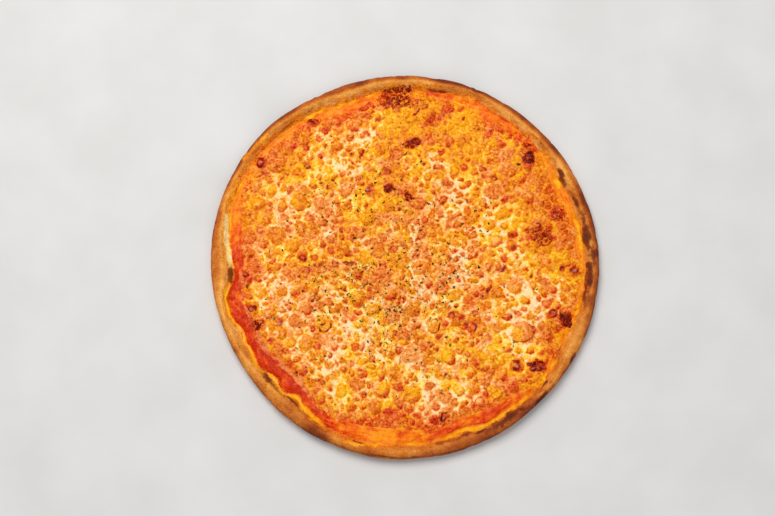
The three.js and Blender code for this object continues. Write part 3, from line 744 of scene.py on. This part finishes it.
def make_cheese(draw):
    """The sheet of melted cheese: blistered above, flat below."""
    random = chance(SEED)
    placed = scatter_blisters(random)
    cells = describe_cells(fill_with_small_cells(split_large(placed, draw), draw), draw)
    unit_x, unit_y = disc_grid(CHEESE_GRID)
    share = np.hypot(unit_x, unit_y)
    degrees = angle_of(unit_x, unit_y)
    round_the_edge = flat_places(*polar(FINGER_CIRCLE, np.radians(degrees)))
    fingers = EDGE_FINGERS * clouds(round_the_edge, 2.2, 51) + 0.5 * noise(round_the_edge, 0.45, 52)
    edge = section_at(degrees)["cheese"] + fingers
    reach = share * (CHEESE_MEAN_RADIUS + (edge - CHEESE_MEAN_RADIUS) * share**4)
    x, y = polar(reach, np.radians(degrees))
    top, looks = cheese_relief(x, y, edge - reach, plain_blisters(placed), cells, strands(draw))
    looks = {**wet_looks(x, y), **looks}
    del looks["film"]
    places = np.stack([x, y, CHEESE_BASE + top], axis=1)

    index = np.arange(CHEESE_GRID**2).reshape(CHEESE_GRID, CHEESE_GRID)
    loop = grid_edge(index)
    lower = len(places) + np.arange(len(loop))
    walls = np.stack([loop, lower, np.roll(lower, -1), np.roll(loop, -1)], axis=1)
    under = places[loop]
    under[:, 2] = CHEESE_UNDERSIDE
    centre = len(places) + len(loop)
    fan = [[centre, after, before] for before, after in zip(lower, np.roll(lower, -1))]
    places = np.vstack([places, under, [[0, 0, CHEESE_UNDERSIDE]]])
    looks = {name: np.concatenate([values, values[loop], [0]]) for name, values in looks.items()}
    piece = add_mesh("cheese_topping", places, grid_faces(index) + walls.tolist() + fan)
    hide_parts("melted_cheese")
    store(piece, looks)
    return piece, random, len(placed)


def turn_rings(rings, degrees):
    """The radii and heights of rings as grids, with the places that they make round the middle."""
    radius, height = (np.array(values) for values in zip(*rings))
    x, y = polar(radius, np.radians(degrees))
    return radius, height, np.stack([x, y, height], axis=-1)


def lathe_faces(rings, sectors):
    """Faces of a closed form whose rings run from its underside up over its side to its top."""
    low, high = rings * sectors, rings * sectors + 1
    index = np.arange(low).reshape(rings, sectors)
    index = np.hstack([index, index[:, :1]])
    floor = [[low, after, before] for before, after in itertools.pairwise(index[0].tolist())]
    roof = [[high, before, after] for before, after in itertools.pairwise(index[-1].tolist())]
    return grid_faces(index) + floor + roof


def ring_normals(places):
    """Outward normals of a grid of rings, from its neighbours' places."""
    up = np.gradient(places, axis=0)
    on = np.roll(places, -1, axis=1) - np.roll(places, 1, axis=1)
    normals = np.cross(on, up)
    return normals / np.maximum(np.linalg.norm(normals, axis=2, keepdims=True), 1e-9)


def crust_rings(section):
    """The crust's rings of radius and height, from the middle of its underside up over the rim."""
    flat = section["outer"] - UNDERSIDE_INSET
    level = np.zeros_like(flat)
    rings = [(flat * share, level) for share in (0.12, 0.3, 0.5, 0.7, 0.85, 0.94, 0.98, 1)]
    side_rings = []
    for tilt in np.radians(CRUST_SIDE_TILTS):
        radius = lerp(section["crest"], section["outer"], math.cos(tilt))
        side_rings.append((radius, section["height"] / 2 * (1 + math.sin(tilt))))
    first_radius, first_height = side_rings[0]
    rings += [(lerp(flat, first_radius, share), first_height * share**1.6) for share in (0.35, 0.7)]
    rings += side_rings
    for share in CRUST_SLOPE_SHARES:
        radius = lerp(section["foot"], section["crest"], share)
        rings.append((radius, slope_height(section, radius)))
    rings += [(section["foot"] * share, level + BASE_THICKNESS) for share in (0.98, 0.93, 0.8, 0.5, 0.2)]
    return rings


def char_and_shadow_at(degrees, radius, places, lip):
    """How dark each place of the rim is, from 0 to 1: burnt in places and in thin dashes along the lip, and
    a painted shadow along the front of the outer edge.
    """
    uneven = clouds(places, 4.5, 61, 2)
    dashes = streaks(places[..., 0], places[..., 1], 8, 1.6, 67)
    total = 0.22 * smooth((dashes - 0.3) / 0.7) * np.exp(-(((radius - lip - 1.2) / 1.1) ** 2))
    for at, from_centre, half_angle, half_width, amount in CHAR_AND_SHADOW_MARKS:
        apart = (degrees - at + 540) % 360 - 180
        away = np.hypot(apart / half_angle, (radius - from_centre) / half_width)
        total = np.maximum(total, amount * smooth((2.0 - away + 0.35 * uneven) / 1.9))
    return total


def slope_height(section, radius):
    """The height of the rim's inner slope."""
    share = (radius - section["foot"]) / (section["crest"] - section["foot"])
    return lerp(BASE_THICKNESS, section["height"], smooth(share))


def rim_cream(x, y):
    """How far each place is inside a streak of cream that has run up to the rim."""
    return strand_distance(x, y, [streak_line(*streak) for streak in RIM_STREAKS])


def make_crust():
    """The baked dough: flat underside, rounded uneven rim and the floor that the sauce covers."""
    degrees = np.arange(CRUST_SECTORS) * 360 / CRUST_SECTORS
    section = section_at(degrees)
    outer, crest, lip, foot = (section[name] for name in ("outer", "crest", "lip", "foot"))
    radius, height, places = turn_rings(crust_rings(section), degrees)
    char = char_and_shadow_at(degrees, radius, places, lip)
    crease_at = CREASE_ANGLE + CREASE_LEAN * (radius - lip) / (outer - lip)
    crease = np.exp(-((np.radians(degrees - crease_at) * radius / 1.1) ** 2))
    relief = 0.3 * clouds(places, 13, 62) + 0.16 * clouds(places, 3.6, 63)
    relief -= 0.4 * smooth((clouds(places, 2.6, 64, 2) - 0.75) / 0.5)
    relief += 0.4 * smooth((clouds(places, 5.5, 65, 2) - 0.7) / 0.6)
    relief += 0.14 * streaks(places[..., 0], places[..., 1], 9, 3, 66) - 0.9 * crease + 0.25 * char - 0.15
    relief -= smooth((radius - crest) / 3) * np.maximum(relief + 0.1, 0)
    relief *= smooth((radius - foot - 0.5) / 3) * smooth((height - 0.15) / 2.2)
    places = places + ring_normals(places) * relief[..., None]
    places[..., 2] = np.maximum(places[..., 2], 0)

    points = np.vstack([places.reshape(-1, 3), [[0, 0, 0], [0, 0, BASE_THICKNESS]]])
    piece = add_mesh("baked_crust", points, lathe_faces(*radius.shape))
    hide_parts("dough")
    wet = wet_looks(places[..., 0], places[..., 1])
    top_side = (height > 1) & ((height > section["height"] * 0.35) | (radius < crest))
    under = 1 - smooth((height - 0.2) / 2.0)
    under[(radius < foot - 1) & (height >= 1)] = 0
    far_side = np.sin(np.radians(degrees))
    on_slope = smooth((crest - radius) / (0.6 * (crest - foot)))
    outside = smooth((radius - crest + 1) / 4)
    browning = 0.42 + bumps_at(BROWNING, degrees) + 0.2 * clouds(places, 20, 68)
    # Painted shade darkens the rim's outer flank, most on the far side where the window lights it; painted
    # light lifts the far side's inner slope, which faces away from the window.
    browning += 0.16 * smooth((radius - outer + 2.2) / 2.5) + (0.34 + 0.24 * far_side) * outside
    browning += (0.04 - 0.34 * np.maximum(far_side, 0)) * on_slope
    looks = {
        **{name: wet[name] * top_side for name in ("patch", "oil", "film", "streak")},
        "orange": wet["orange"],
        "milk": wet["milk"],
        "browning": np.clip(browning, 0, 1),
        "char": char * (height > 1),
        "under": under,
        "cream": np.where(top_side, wet["cream"], NO_STRAND),
    }
    store(piece, {name: np.append(values, [values[0, 0], values[-1, 0]]) for name, values in looks.items()})
    return piece


def make_sauce():
    """The tomato sauce: level under the cheese, thick and moist where it shows."""
    degrees = np.arange(SAUCE_SECTORS) * 360 / SAUCE_SECTORS
    section = section_at(degrees)
    round_the_edge = flat_places(*polar(SHORE_CIRCLE, np.radians(degrees)))
    shore = lerp(section["foot"], section["crest"], SAUCE_CLIMB)
    shore += 0.9 * clouds(round_the_edge, 9, 87) + 0.4 * clouds(round_the_edge, 2.5, 88, 2)
    shore += 0.9 * bumps_at(SAUCE_SCALLOPS, degrees)
    level = np.zeros_like(degrees)
    base = np.minimum(section["foot"], shore - 1)
    rings = [(base * share, level + BASE_THICKNESS + CLEARANCE) for share in (0.2, 0.6, 0.9, 1)]
    rings.append((shore, slope_height(section, shore) + 0.1))
    rings.append((shore + 1.1, slope_height(section, shore + 1.1) - 0.3))
    under = len(rings)
    edge = shore + 0.9
    inner = section["cheese"] - 7
    for share in np.linspace(0, 1, SAUCE_BAND_RINGS):
        radius = lerp(edge, inner, share)
        away = edge - radius
        lift = lerp(slope_height(section, edge) - 0.02, CHEESE_BASE + 0.25, smooth(away / 4))
        covered = smooth((section["cheese"] - 2 - radius) / 2.5)
        rings.append((radius, lerp(lift + 0.14 * smooth(away), SAUCE_TOP, covered)))
    rings += [(inner * share, level + SAUCE_TOP) for share in (0.8, 0.5, 0.2)]
    radius, _, places = turn_rings(rings, degrees)
    shows = smooth((radius - section["cheese"] + 2.5) / 2) * (np.arange(len(rings)) >= under)[:, None]
    lumps = 0.26 * clouds(places, 7, 81) + 0.12 * clouds(places, 2.2, 82, 2)
    places[..., 2] += lumps * shows * smooth((shore - radius + 0.3) / 1.5)
    points = np.vstack([places.reshape(-1, 3), [[0, 0, BASE_THICKNESS + CLEARANCE], [0, 0, SAUCE_TOP]]])
    piece = add_mesh("sauce_layer", points, lathe_faces(*radius.shape))
    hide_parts("tomato_sauce")
    looks = wet_looks(points[:, 0], points[:, 1])
    del looks["film"]
    store(piece, looks)
    return piece


def flake_mesh(draw, length, width):
    """One curled scrap of dried leaf, lying along +X: its points and faces."""
    stations = 5
    along = np.linspace(-0.5, 0.5, stations)
    taper = np.sqrt(np.maximum(0.12, 1 - (2 * along) ** 2))
    half = 0.5 * width * taper * lerp(0.6, 1.25, draw.random(stations))
    drift = 0.25 * width * draw.normal(size=stations)
    curl = 0.35 * width * draw.normal()
    rows = []
    for side in (-1, 0, 1):
        arch = curl * (1 - abs(side)) + 0.12 * width * draw.normal(size=stations)
        rows.append(np.stack([along * length, drift + side * half, arch], axis=1))
    upper = np.concatenate(rows)
    count = len(upper)
    index = np.arange(count).reshape(3, stations)
    faces = []
    for a, b, c, d in grid_faces(index):
        faces += [(a, b, c), (a, c, d)]
        faces += [(a + count, c + count, b + count), (a + count, d + count, c + count)]
    rim = grid_edge(index).tolist()
    faces += [(a, a + count, b + count, b) for a, b in zip(rim, rim[1:] + rim[:1])]
    return np.concatenate([upper, upper - [0, 0, FLAKE_THICKNESS]]), faces


def flake_spots(random, blister_count, draw):
    """Where the oregano lies: the solids' flakes first, then many smaller ones."""
    # Before its flakes, the solid draws once for each blister and twice for each point of a grid
    reach = math.ceil(OUTER_RADIUS / FILL_SPACING)
    for _ in range(blister_count + 2 * (2 * reach + 1) ** 2):
        next(random)
    spots = []
    for _ in range(FLAKE_COUNT):
        away = FLAKE_SPREAD * math.sqrt(-2 * math.log(1 - FLAKE_TAIL * next(random)))
        dx, dy = polar(away, 2 * math.pi * next(random))
        spots.append((FLAKE_CENTRE[0] + dx, FLAKE_CENTRE[1] + dy, SOLID_FLAKE_LENGTH))
    while len(spots) < FLAKE_COUNT + EXTRA_FLAKES:
        wide = draw.random() < WIDE_FLAKE_SHARE
        centre, spread = ((0, 0), WIDE_FLAKE_SPREAD) if wide else (FLAKE_CENTRE, FLAKE_SPREAD)
        x, y = np.array(centre) + spread * draw.normal(size=2)
        clump = leaf_clumps(x, y)
        if math.hypot(x, y) < FLAKE_REACH and draw.random() < 0.55 + 0.6 * clump:
            spots.append((x, y, lerp(*EXTRA_FLAKE_LENGTHS, draw.random() ** 1.8)))
    return [spot for spot in spots if math.hypot(spot[0], spot[1]) < FLAKE_REACH]


def make_oregano(cheese, random, blister_count, draw):
    """Every flake of dried oregano, in one mesh that lies on the cheese."""
    corners = [vertex.co for vertex in cheese.data.vertices]
    tree = BVHTree.FromPolygons(corners, [face.vertices[:] for face in cheese.data.polygons])
    places, faces, tints = [], [], []
    total = 0
    for x, y, length in flake_spots(random, blister_count, draw):
        hit, normal, _, _ = tree.ray_cast(Vector((x * MM, y * MM, 0.05)), Vector((0, 0, -1)))
        if hit is None:
            continue
        points, sides = flake_mesh(draw, length, length * lerp(0.32, 0.7, draw.random()))
        turn = Matrix.Rotation(2 * math.pi * draw.random(), 3, "Z")
        lean = Matrix.Rotation(0.35 * draw.normal(), 3, "Y")
        matrix = np.array(normal.to_track_quat("Z", "Y").to_matrix() @ turn @ lean)
        places.append(points @ matrix.T + np.array(hit) / MM + [0, 0, FLAKE_LIFT])
        faces += [tuple(corner + total for corner in face) for face in sides]
        tints += [draw.random()] * len(points)
        total += len(points)
    piece = add_mesh("oregano_flakes", np.vstack(places), faces)
    store(piece, {"tint": np.array(tints)})
    return piece


def srgb(text):
    """A colour as nodes take it, from #rrggbb."""
    parts = [int(text[i : i + 2], 16) / 255 for i in (1, 3, 5)]
    return [part / 12.92 if part <= 0.04045 else ((part + 0.055) / 1.055) ** 2.4 for part in parts] + [1]


class Surface:
    """A material whose nodes are added one at a time.

    A value is a number, a node's output, a colour as #rrggbb or the name of one of the mesh's values."""

    def __init__(self, name):
        self.material = bpy.data.materials.new(name)
        self.material.use_nodes = True
        self.tree = self.material.node_tree
        self.shader = self.tree.nodes["Principled BSDF"]
        self.place = self.tree.nodes.new("ShaderNodeTexCoord").outputs["Object"]

    def put(self, socket, value):
        if isinstance(value, str):
            value = srgb(value) if value[0] == "#" else self.attribute(value)
        if isinstance(value, bpy.types.NodeSocket):
            self.tree.links.new(value, socket)
        else:
            socket.default_value = value

    def add(self, kind, inputs, output=0, **settings):
        """Adds a node and gives its output."""
        node = self.tree.nodes.new("ShaderNode" + kind)
        for name, value in settings.items():
            setattr(node, name, value)
        for socket, value in inputs.items():
            self.put(node.inputs[socket], value)
        return node.outputs[output]

    def attribute(self, name):
        return self.add("Attribute", {}, "Fac", attribute_name=name)

    def math(self, operation, *values):
        return self.add("Math", dict(enumerate(values)), operation=operation)

    def times(self, first, second):
        return self.math("MULTIPLY", first, second)

    def total(self, first, *others):
        """A value plus others, each times its own share."""
        for value, share in others:
            first = self.math("MULTIPLY_ADD", value, share, first)
        return first

    def noise(self, size, detail, distortion=0.0):
        """Cloudy values about zero, in lumps of that many millimetres."""
        inputs = {"Vector": self.place, "Scale": 1 / (size * MM), "Detail": detail}
        inputs["Distortion"] = distortion
        return self.math("SUBTRACT", self.add("TexNoise", inputs, "Fac"), 0.5)

    def span(self, value, low, high, to_low=0.0, to_high=1.0):
        """A value eased from one range to another."""
        inputs = {"Value": value, "From Min": low, "From Max": high, "To Min": to_low, "To Max": to_high}
        return self.add("MapRange", inputs, interpolation_type="SMOOTHSTEP")

    def mix(self, share, first, second):
        return self.add("Mix", {0: share, 6: first, 7: second}, 2, data_type="RGBA")

    def cover(self, colour, other, value, low, high, most=1.0):
        """A colour with another over it, more and more as the value goes from low to high."""
        return self.mix(self.span(value, low, high, 0, most), colour, other)

    def ramp(self, value, steps, colours):
        """A colour for each value, from steps and the colour at each."""
        node = self.tree.nodes.new("ShaderNodeValToRGB")
        elements = node.color_ramp.elements
        while len(elements) < len(steps):
            elements.new(0.5)
        for element, step, colour in zip(elements, steps, colours.split()):
            element.position = step
            element.color = srgb(colour)
        self.put(node.inputs[0], value)
        return node.outputs[0]

    def grained(self, colour, grain):
        """A colour made lighter or darker by a value about zero, its hue kept."""
        shares = (1.0, 0.62, 0.28)
        colour = self.add("VectorMath", {0: grain, 1: shares, 2: colour}, operation="MULTIPLY_ADD")
        return self.add("VectorMath", {0: colour, 1: (0.01, 0.003, 0.001)}, operation="MAXIMUM")

    def burn(self, colour, grain):
        """A colour burnt in a fine lattice where the mesh says so, with specks of painted highlight on it.
        """
        lattice = self.math("ABSOLUTE", self.noise(3.2, 2, 1.6))
        burnt = self.total(-0.37, ("patch", 1.5), (lattice, -5.4), (self.noise(2.6, 2), 2.4), (grain, 0.8))
        dark = self.times(self.span("patch", 0.02, 0.25), self.span(burnt, -0.4, 1.0, 0, 0.95))
        gaps = self.times(self.span("patch", 0.15, 0.6, 0, 0.5), self.span(burnt, -0.9, -0.2, 1, 0))
        # glints: specks of painted highlight on the burnt lattice
        glints = self.span(self.noise(1.7, 1), 0.12, 0.2, 0, 0.28)
        colour = self.mix(gaps, colour, "#f0941a")
        return self.scorched(colour, dark, self.times(glints, self.span(burnt, 0.3, 0.9)))

    def scorched(self, colour, dark, ash):
        """A colour burnt as far as the one value says, with the other's share of a pale mauve painted
        highlight on it.
        """
        scorch = self.ramp(dark, (0.1, 0.35, 0.62, 0.95), "#cc4c08 #b03004 #861a04 #500c02")
        return self.cover(colour, self.mix(ash, scorch, "#cc8c80"), dark, 0.02, 0.35)

    def sauce(self, grain, coarse):
        """The colour of tomato sauce with its milky and oily parts."""
        tone = self.total("orange", (coarse, 1.1), (grain, 0.25))
        colour = self.ramp(tone, (0, 0.25, 0.5, 0.75, 1), "#c22c06 #d8400a #e85c0e #f47c12 #fa981c")
        milk = self.total("milk", (coarse, 2.2), (grain, 0.5))
        return self.cover(colour, "#f8a05c", milk, 0.5, 1.4, 0.7)

    def oiled(self, colour, grain, coarse):
        """A colour with amber oil over it, and cream over that, where the mesh has them."""
        mask = self.total("oil", (coarse, 0.6), ("streak", 0.1), (grain, 0.2))
        tone = self.total(mask, ("streak", 0.12), (coarse, 0.3))
        amber = self.ramp(tone, (0.05, 0.3, 0.6, 0.85, 1), "#d07420 #e07c10 #ee860a #f89c10 #ffb620")
        colour = self.cover(colour, amber, mask, 0.05, 0.7)
        cream = self.total("cream", (coarse, 5.0), ("streak", 0.5), (grain, 0.8))
        colour = self.cover(colour, "#fbb440", cream, -2.0, 0.3)
        return self.cover(colour, "#ffeaa4", cream, -0.6, 1.2)

    def bumps(self, *layers):
        """A normal from heights, each with a distance in millimetres and a strength."""
        inputs = {}
        for height, distance, strength in layers:
            inputs |= {"Strength": strength, "Distance": distance * MM, "Height": height}
            inputs["Normal"] = self.add("Bump", inputs)
        return inputs["Normal"]

    def finish(self, colour, roughness, normal, gloss=0.5, soft=0.0, depths=(1, 1, 1)):
        """Joins the shader up; soft is how much light sinks in, and depths how far in millimetres."""
        inputs = {"Base Color": colour, "Roughness": roughness, "Normal": normal}
        inputs |= {"Specular IOR Level": gloss, "Subsurface Weight": soft, "Subsurface Scale": 1.0}
        inputs["Subsurface Radius"] = [depth * MM for depth in depths]
        for name, value in inputs.items():
            self.put(self.shader.inputs[name], value)
        return self.material


def cheese_material():
    """Oily melted cheese: cream threads between orange blisters, browned and burnt in places, with painted
    highlights and painted shade on the blisters.
    """
    surface = Surface("melted cheese")
    grain = surface.noise(0.8, 3)
    specks = surface.noise(1.7, 3, 0.3)
    coarse = surface.noise(3.4, 1.5, 0.4)
    hue = surface.noise(6, 2, 0.6)

    vein = surface.total("vein", (specks, 0.9), (coarse, 1.2), (grain, 0.1), ("strength", 0.5))
    inside = surface.span(vein, -1.2, 1.3)
    rim = surface.times(surface.span(vein, -1.6, -0.7), surface.span(vein, -0.6, 0.3, 1, 0))
    lift = surface.times(inside, surface.span("strength", 0, 1, 0.1, 0.54))
    ring = surface.times(rim, "ring")
    # lit darkens and reddens each cell's lower right and lightens and pinkens its upper left: painted shade
    # and painted light
    tone = surface.total(
        0.475, ("tone", 1), (coarse, 0.7), (specks, 0.4), ("middle", 0.26), (lift, 0.98), (ring, -0.26),
        ("yellow", 0.08), ("lit", -0.16),
    )
    plain, salmon, oily, reddened = (surface.ramp(tone, TONE_STEPS, colours) for colours in CHEESE_COLOURS)
    # 'middle' lightens the tone above and pinkens the colour here: a painted highlight on the cells'
    # centres
    pink = surface.total("pink", (hue, -1.8), (coarse, 0.6), ("middle", 0.6), ("lit", -0.6))
    colour = surface.cover(plain, salmon, pink, 0.2, 0.7)
    yellow = surface.total("yellow", (hue, 2.0), (coarse, 0.5), (inside, 0.25), (lift, -1.1))
    colour = surface.cover(colour, oily, yellow, 0.15, 0.75)
    red = surface.total("red", (coarse, 1.3), (hue, 0.8), (ring, 0.5), (inside, -0.35), ("lit", 0.8))
    colour = surface.cover(colour, reddened, red, 0.15, 0.95, 0.92)

    soaked = surface.total("soaked", (coarse, 1.6), (specks, 0.8))
    wet = surface.oiled(surface.sauce(grain, coarse), grain, coarse)
    colour = surface.cover(colour, wet, soaked, 0.3, 0.9)
    crumbs = surface.total(surface.noise(1.1, 4), ("herb", 0.12))
    colour = surface.cover(colour, "#7a5a10", crumbs, 0.18, 0.26, 0.7)

    colour = surface.grained(colour, surface.total(0, (grain, 0.5), (specks, 0.5)))
    colour = surface.burn(colour, grain)
    singed = surface.total("singed", (grain, 0.3), (specks, 0.3))
    # A painted highlight on the burnt and browned blisters.
    ash = surface.span(surface.total("ash", (specks, 2.4), (grain, 0.6)), 0.25, 0.85, 0, 0.75)
    colour = surface.scorched(colour, surface.span(singed, 0.05, 1.0), ash)

    roughness = surface.span(coarse, -0.2, 0.2, 0.3, 0.45)
    normal = surface.bumps((surface.noise(2.2, 4), 0.4, 0.6), (surface.noise(0.8, 3), 0.2, 0.6))
    return surface.finish(colour, roughness, normal, gloss=0.06, soft=0.06, depths=(1.5, 0.7, 0.3))


def sauce_material():
    """Tomato sauce under a film of oil."""
    surface = Surface("tomato sauce")
    grain = surface.noise(0.9, 3)
    coarse = surface.noise(4.5, 4, 0.5)
    colour = surface.oiled(surface.sauce(grain, coarse), grain, coarse)
    colour = surface.burn(surface.grained(colour, surface.times(grain, 0.25)), grain)
    roughness = surface.span(coarse, -0.2, 0.2, 0.3, 0.48)
    normal = surface.bumps((surface.noise(1.8, 4), 0.25, 0.5))
    return surface.finish(colour, roughness, normal, gloss=0.06, soft=0.05, depths=(2, 0.6, 0.3))


def crust_material():
    """Baked dough: golden to brown with a dusty bloom, oily inside the lip, spotted underneath, with
    painted shade and light on parts of the rim.
    """
    surface = Surface("baked crust")
    grain = surface.noise(1.0, 2)
    specks = surface.noise(2.0, 3)
    mottle = surface.noise(5, 2, 0.3)
    # browning holds the baking and the painted shade and light on the rim
    brown = surface.total("browning", (mottle, 0.4), (specks, 0.35), (grain, 0.9))
    brown_steps = (0, 0.25, 0.5, 0.7, 0.85, 1)
    colour = surface.ramp(brown, brown_steps, "#f6ae56 #e8983e #d47a2c #b65c1e #904016 #622810")

    under_tone = surface.total(0.5, (surface.noise(13, 4), 1), (mottle, 0.7), (specks, 0.25))
    base_steps = (0.34, 0.5, 0.6, 0.68, 0.78)
    base = surface.ramp(under_tone, base_steps, "#e0ba82 #cf9a5a #a26630 #673820 #331d18")
    flour = surface.total(surface.noise(2.0, 5, 0.6), (grain, 0.5))
    base = surface.cover(base, "#e8d6b8", flour, 0.03, 0.16, 0.5)
    colour = surface.mix("under", colour, base)

    film = surface.total("film", (mottle, 1.0))
    colour = surface.cover(colour, surface.sauce(grain, mottle), film, 0.2, 0.8)
    colour = surface.oiled(colour, grain, mottle)
    bloom = surface.total(0, (grain, 1.3), (specks, 0.45))
    colour = surface.grained(colour, surface.times(bloom, surface.span(brown, 0.4, 0.95, 1, 0.2)))
    # char: burnt places and a painted shadow along the front of the outer edge, in one dark ramp
    char = surface.total("char", (mottle, 0.4), (specks, 0.7), ("streak", 0.06), (grain, 0.5))
    black = surface.ramp(char, (0.1, 0.4, 0.65, 0.95), "#b05a24 #8e3e1a #702612 #48140a")
    colour = surface.burn(surface.cover(colour, black, char, 0.02, 0.5, 0.92), grain)
    roughness = surface.span("oil", 0.3, 0.9, 0.75, 0.42)
    normal = surface.bumps((surface.noise(4.5, 4, 0.3), 0.5, 0.4), (surface.noise(1.0, 3), 0.25, 0.5))
    return surface.finish(colour, roughness, normal, gloss=0.14, soft=0.04, depths=(1, 0.5, 0.3))


def oregano_material():
    """Dry crumbled leaf, from olive to nearly black."""
    surface = Surface("dried oregano")
    tint = surface.total("tint", (surface.noise(0.6, 4), 0.5))
    colour = surface.ramp(tint, (0, 0.4, 0.7, 0.9, 1), "#2a1a00 #462e02 #60480a #80681e #9a8440")
    return surface.finish(colour, 0.8, surface.bumps((surface.noise(0.5, 4), 0.15, 0.6)), gloss=0.04)


def floor_material():
    surface = Surface("pale floor")
    colour = surface.ramp(surface.total(0.5, (surface.noise(60, 3), 1)), (0.3, 0.7), "#d6d5d2 #dedddb")
    return surface.finish(colour, 0.7, surface.bumps((surface.noise(3, 3), 0.05, 0.1)))


def make_floor():
    """A plain pale floor, just below the underside."""
    corners = [(-FLOOR_HALF, -FLOOR_HALF, 0), (FLOOR_HALF, -FLOOR_HALF, 0)]
    corners += [(FLOOR_HALF, FLOOR_HALF, 0), (-FLOOR_HALF, FLOOR_HALF, 0)]
    mesh = bpy.data.meshes.new("floor")
    mesh.from_pydata(corners, [], [(0, 1, 2, 3)])
    mesh.materials.append(floor_material())
    floor = add_object("floor", mesh)
    floor.location.z = -FLOOR_GAP


def aim(item, place, target):
    """Puts a lamp or camera at a place and turns it to its target."""
    item.location = place
    item.rotation_euler = (Vector(target) - Vector(place)).to_track_quat("-Z", "Y").to_euler()


def light_the_studio():
    """A broad window light from behind the pizza, a weak one in front and a pale surround."""
    for name, place, size, power, colour in LAMPS:
        light = bpy.data.lights.new(name, "AREA")
        light.size = size
        light.energy = power
        light.color = colour
        aim(add_object(name, light), place, (0, 0, 0))
    world = bpy.data.worlds.new("studio")
    world.use_nodes = True
    background = world.node_tree.nodes["Background"]
    background.inputs["Color"].default_value = SURROUND_COLOUR
    background.inputs["Strength"].default_value = SURROUND_STRENGTH
    bpy.context.scene.world = world
    bpy.context.scene.view_settings.view_transform = "Standard"


def make_camera():
    camera = bpy.data.cameras.new("camera")
    camera.lens = CAMERA_LENS
    width = CAD_BOX[1][0] - CAD_BOX[0][0]
    distance = CAMERA_LENS / camera.sensor_width * IMAGE_WIDTH * width / PIZZA_PIXELS
    camera.shift_x = -PIZZA_RIGHT_OF_MIDDLE / IMAGE_WIDTH
    camera.shift_y = PIZZA_BELOW_MIDDLE / IMAGE_WIDTH
    tilt = math.radians(CAMERA_ELEVATION)
    middle = Vector((0, 0, RIM_HEIGHT / 2 * MM))
    back = Vector((0, -math.cos(tilt), math.sin(tilt)))
    holder = add_object("camera", camera)
    aim(holder, middle + back * distance, middle)
    bpy.context.scene.camera = holder


draws = np.random.default_rng(SEED)
crust = make_crust()
crust.data.materials.append(crust_material())
sauce = make_sauce()
sauce.data.materials.append(sauce_material())
cheese, solids_chance, solids_blisters = make_cheese(draws)
cheese.data.materials.append(cheese_material())
oregano = make_oregano(cheese, solids_chance, solids_blisters, draws)
oregano.data.materials.append(oregano_material())
make_floor()
light_the_studio()
make_camera()
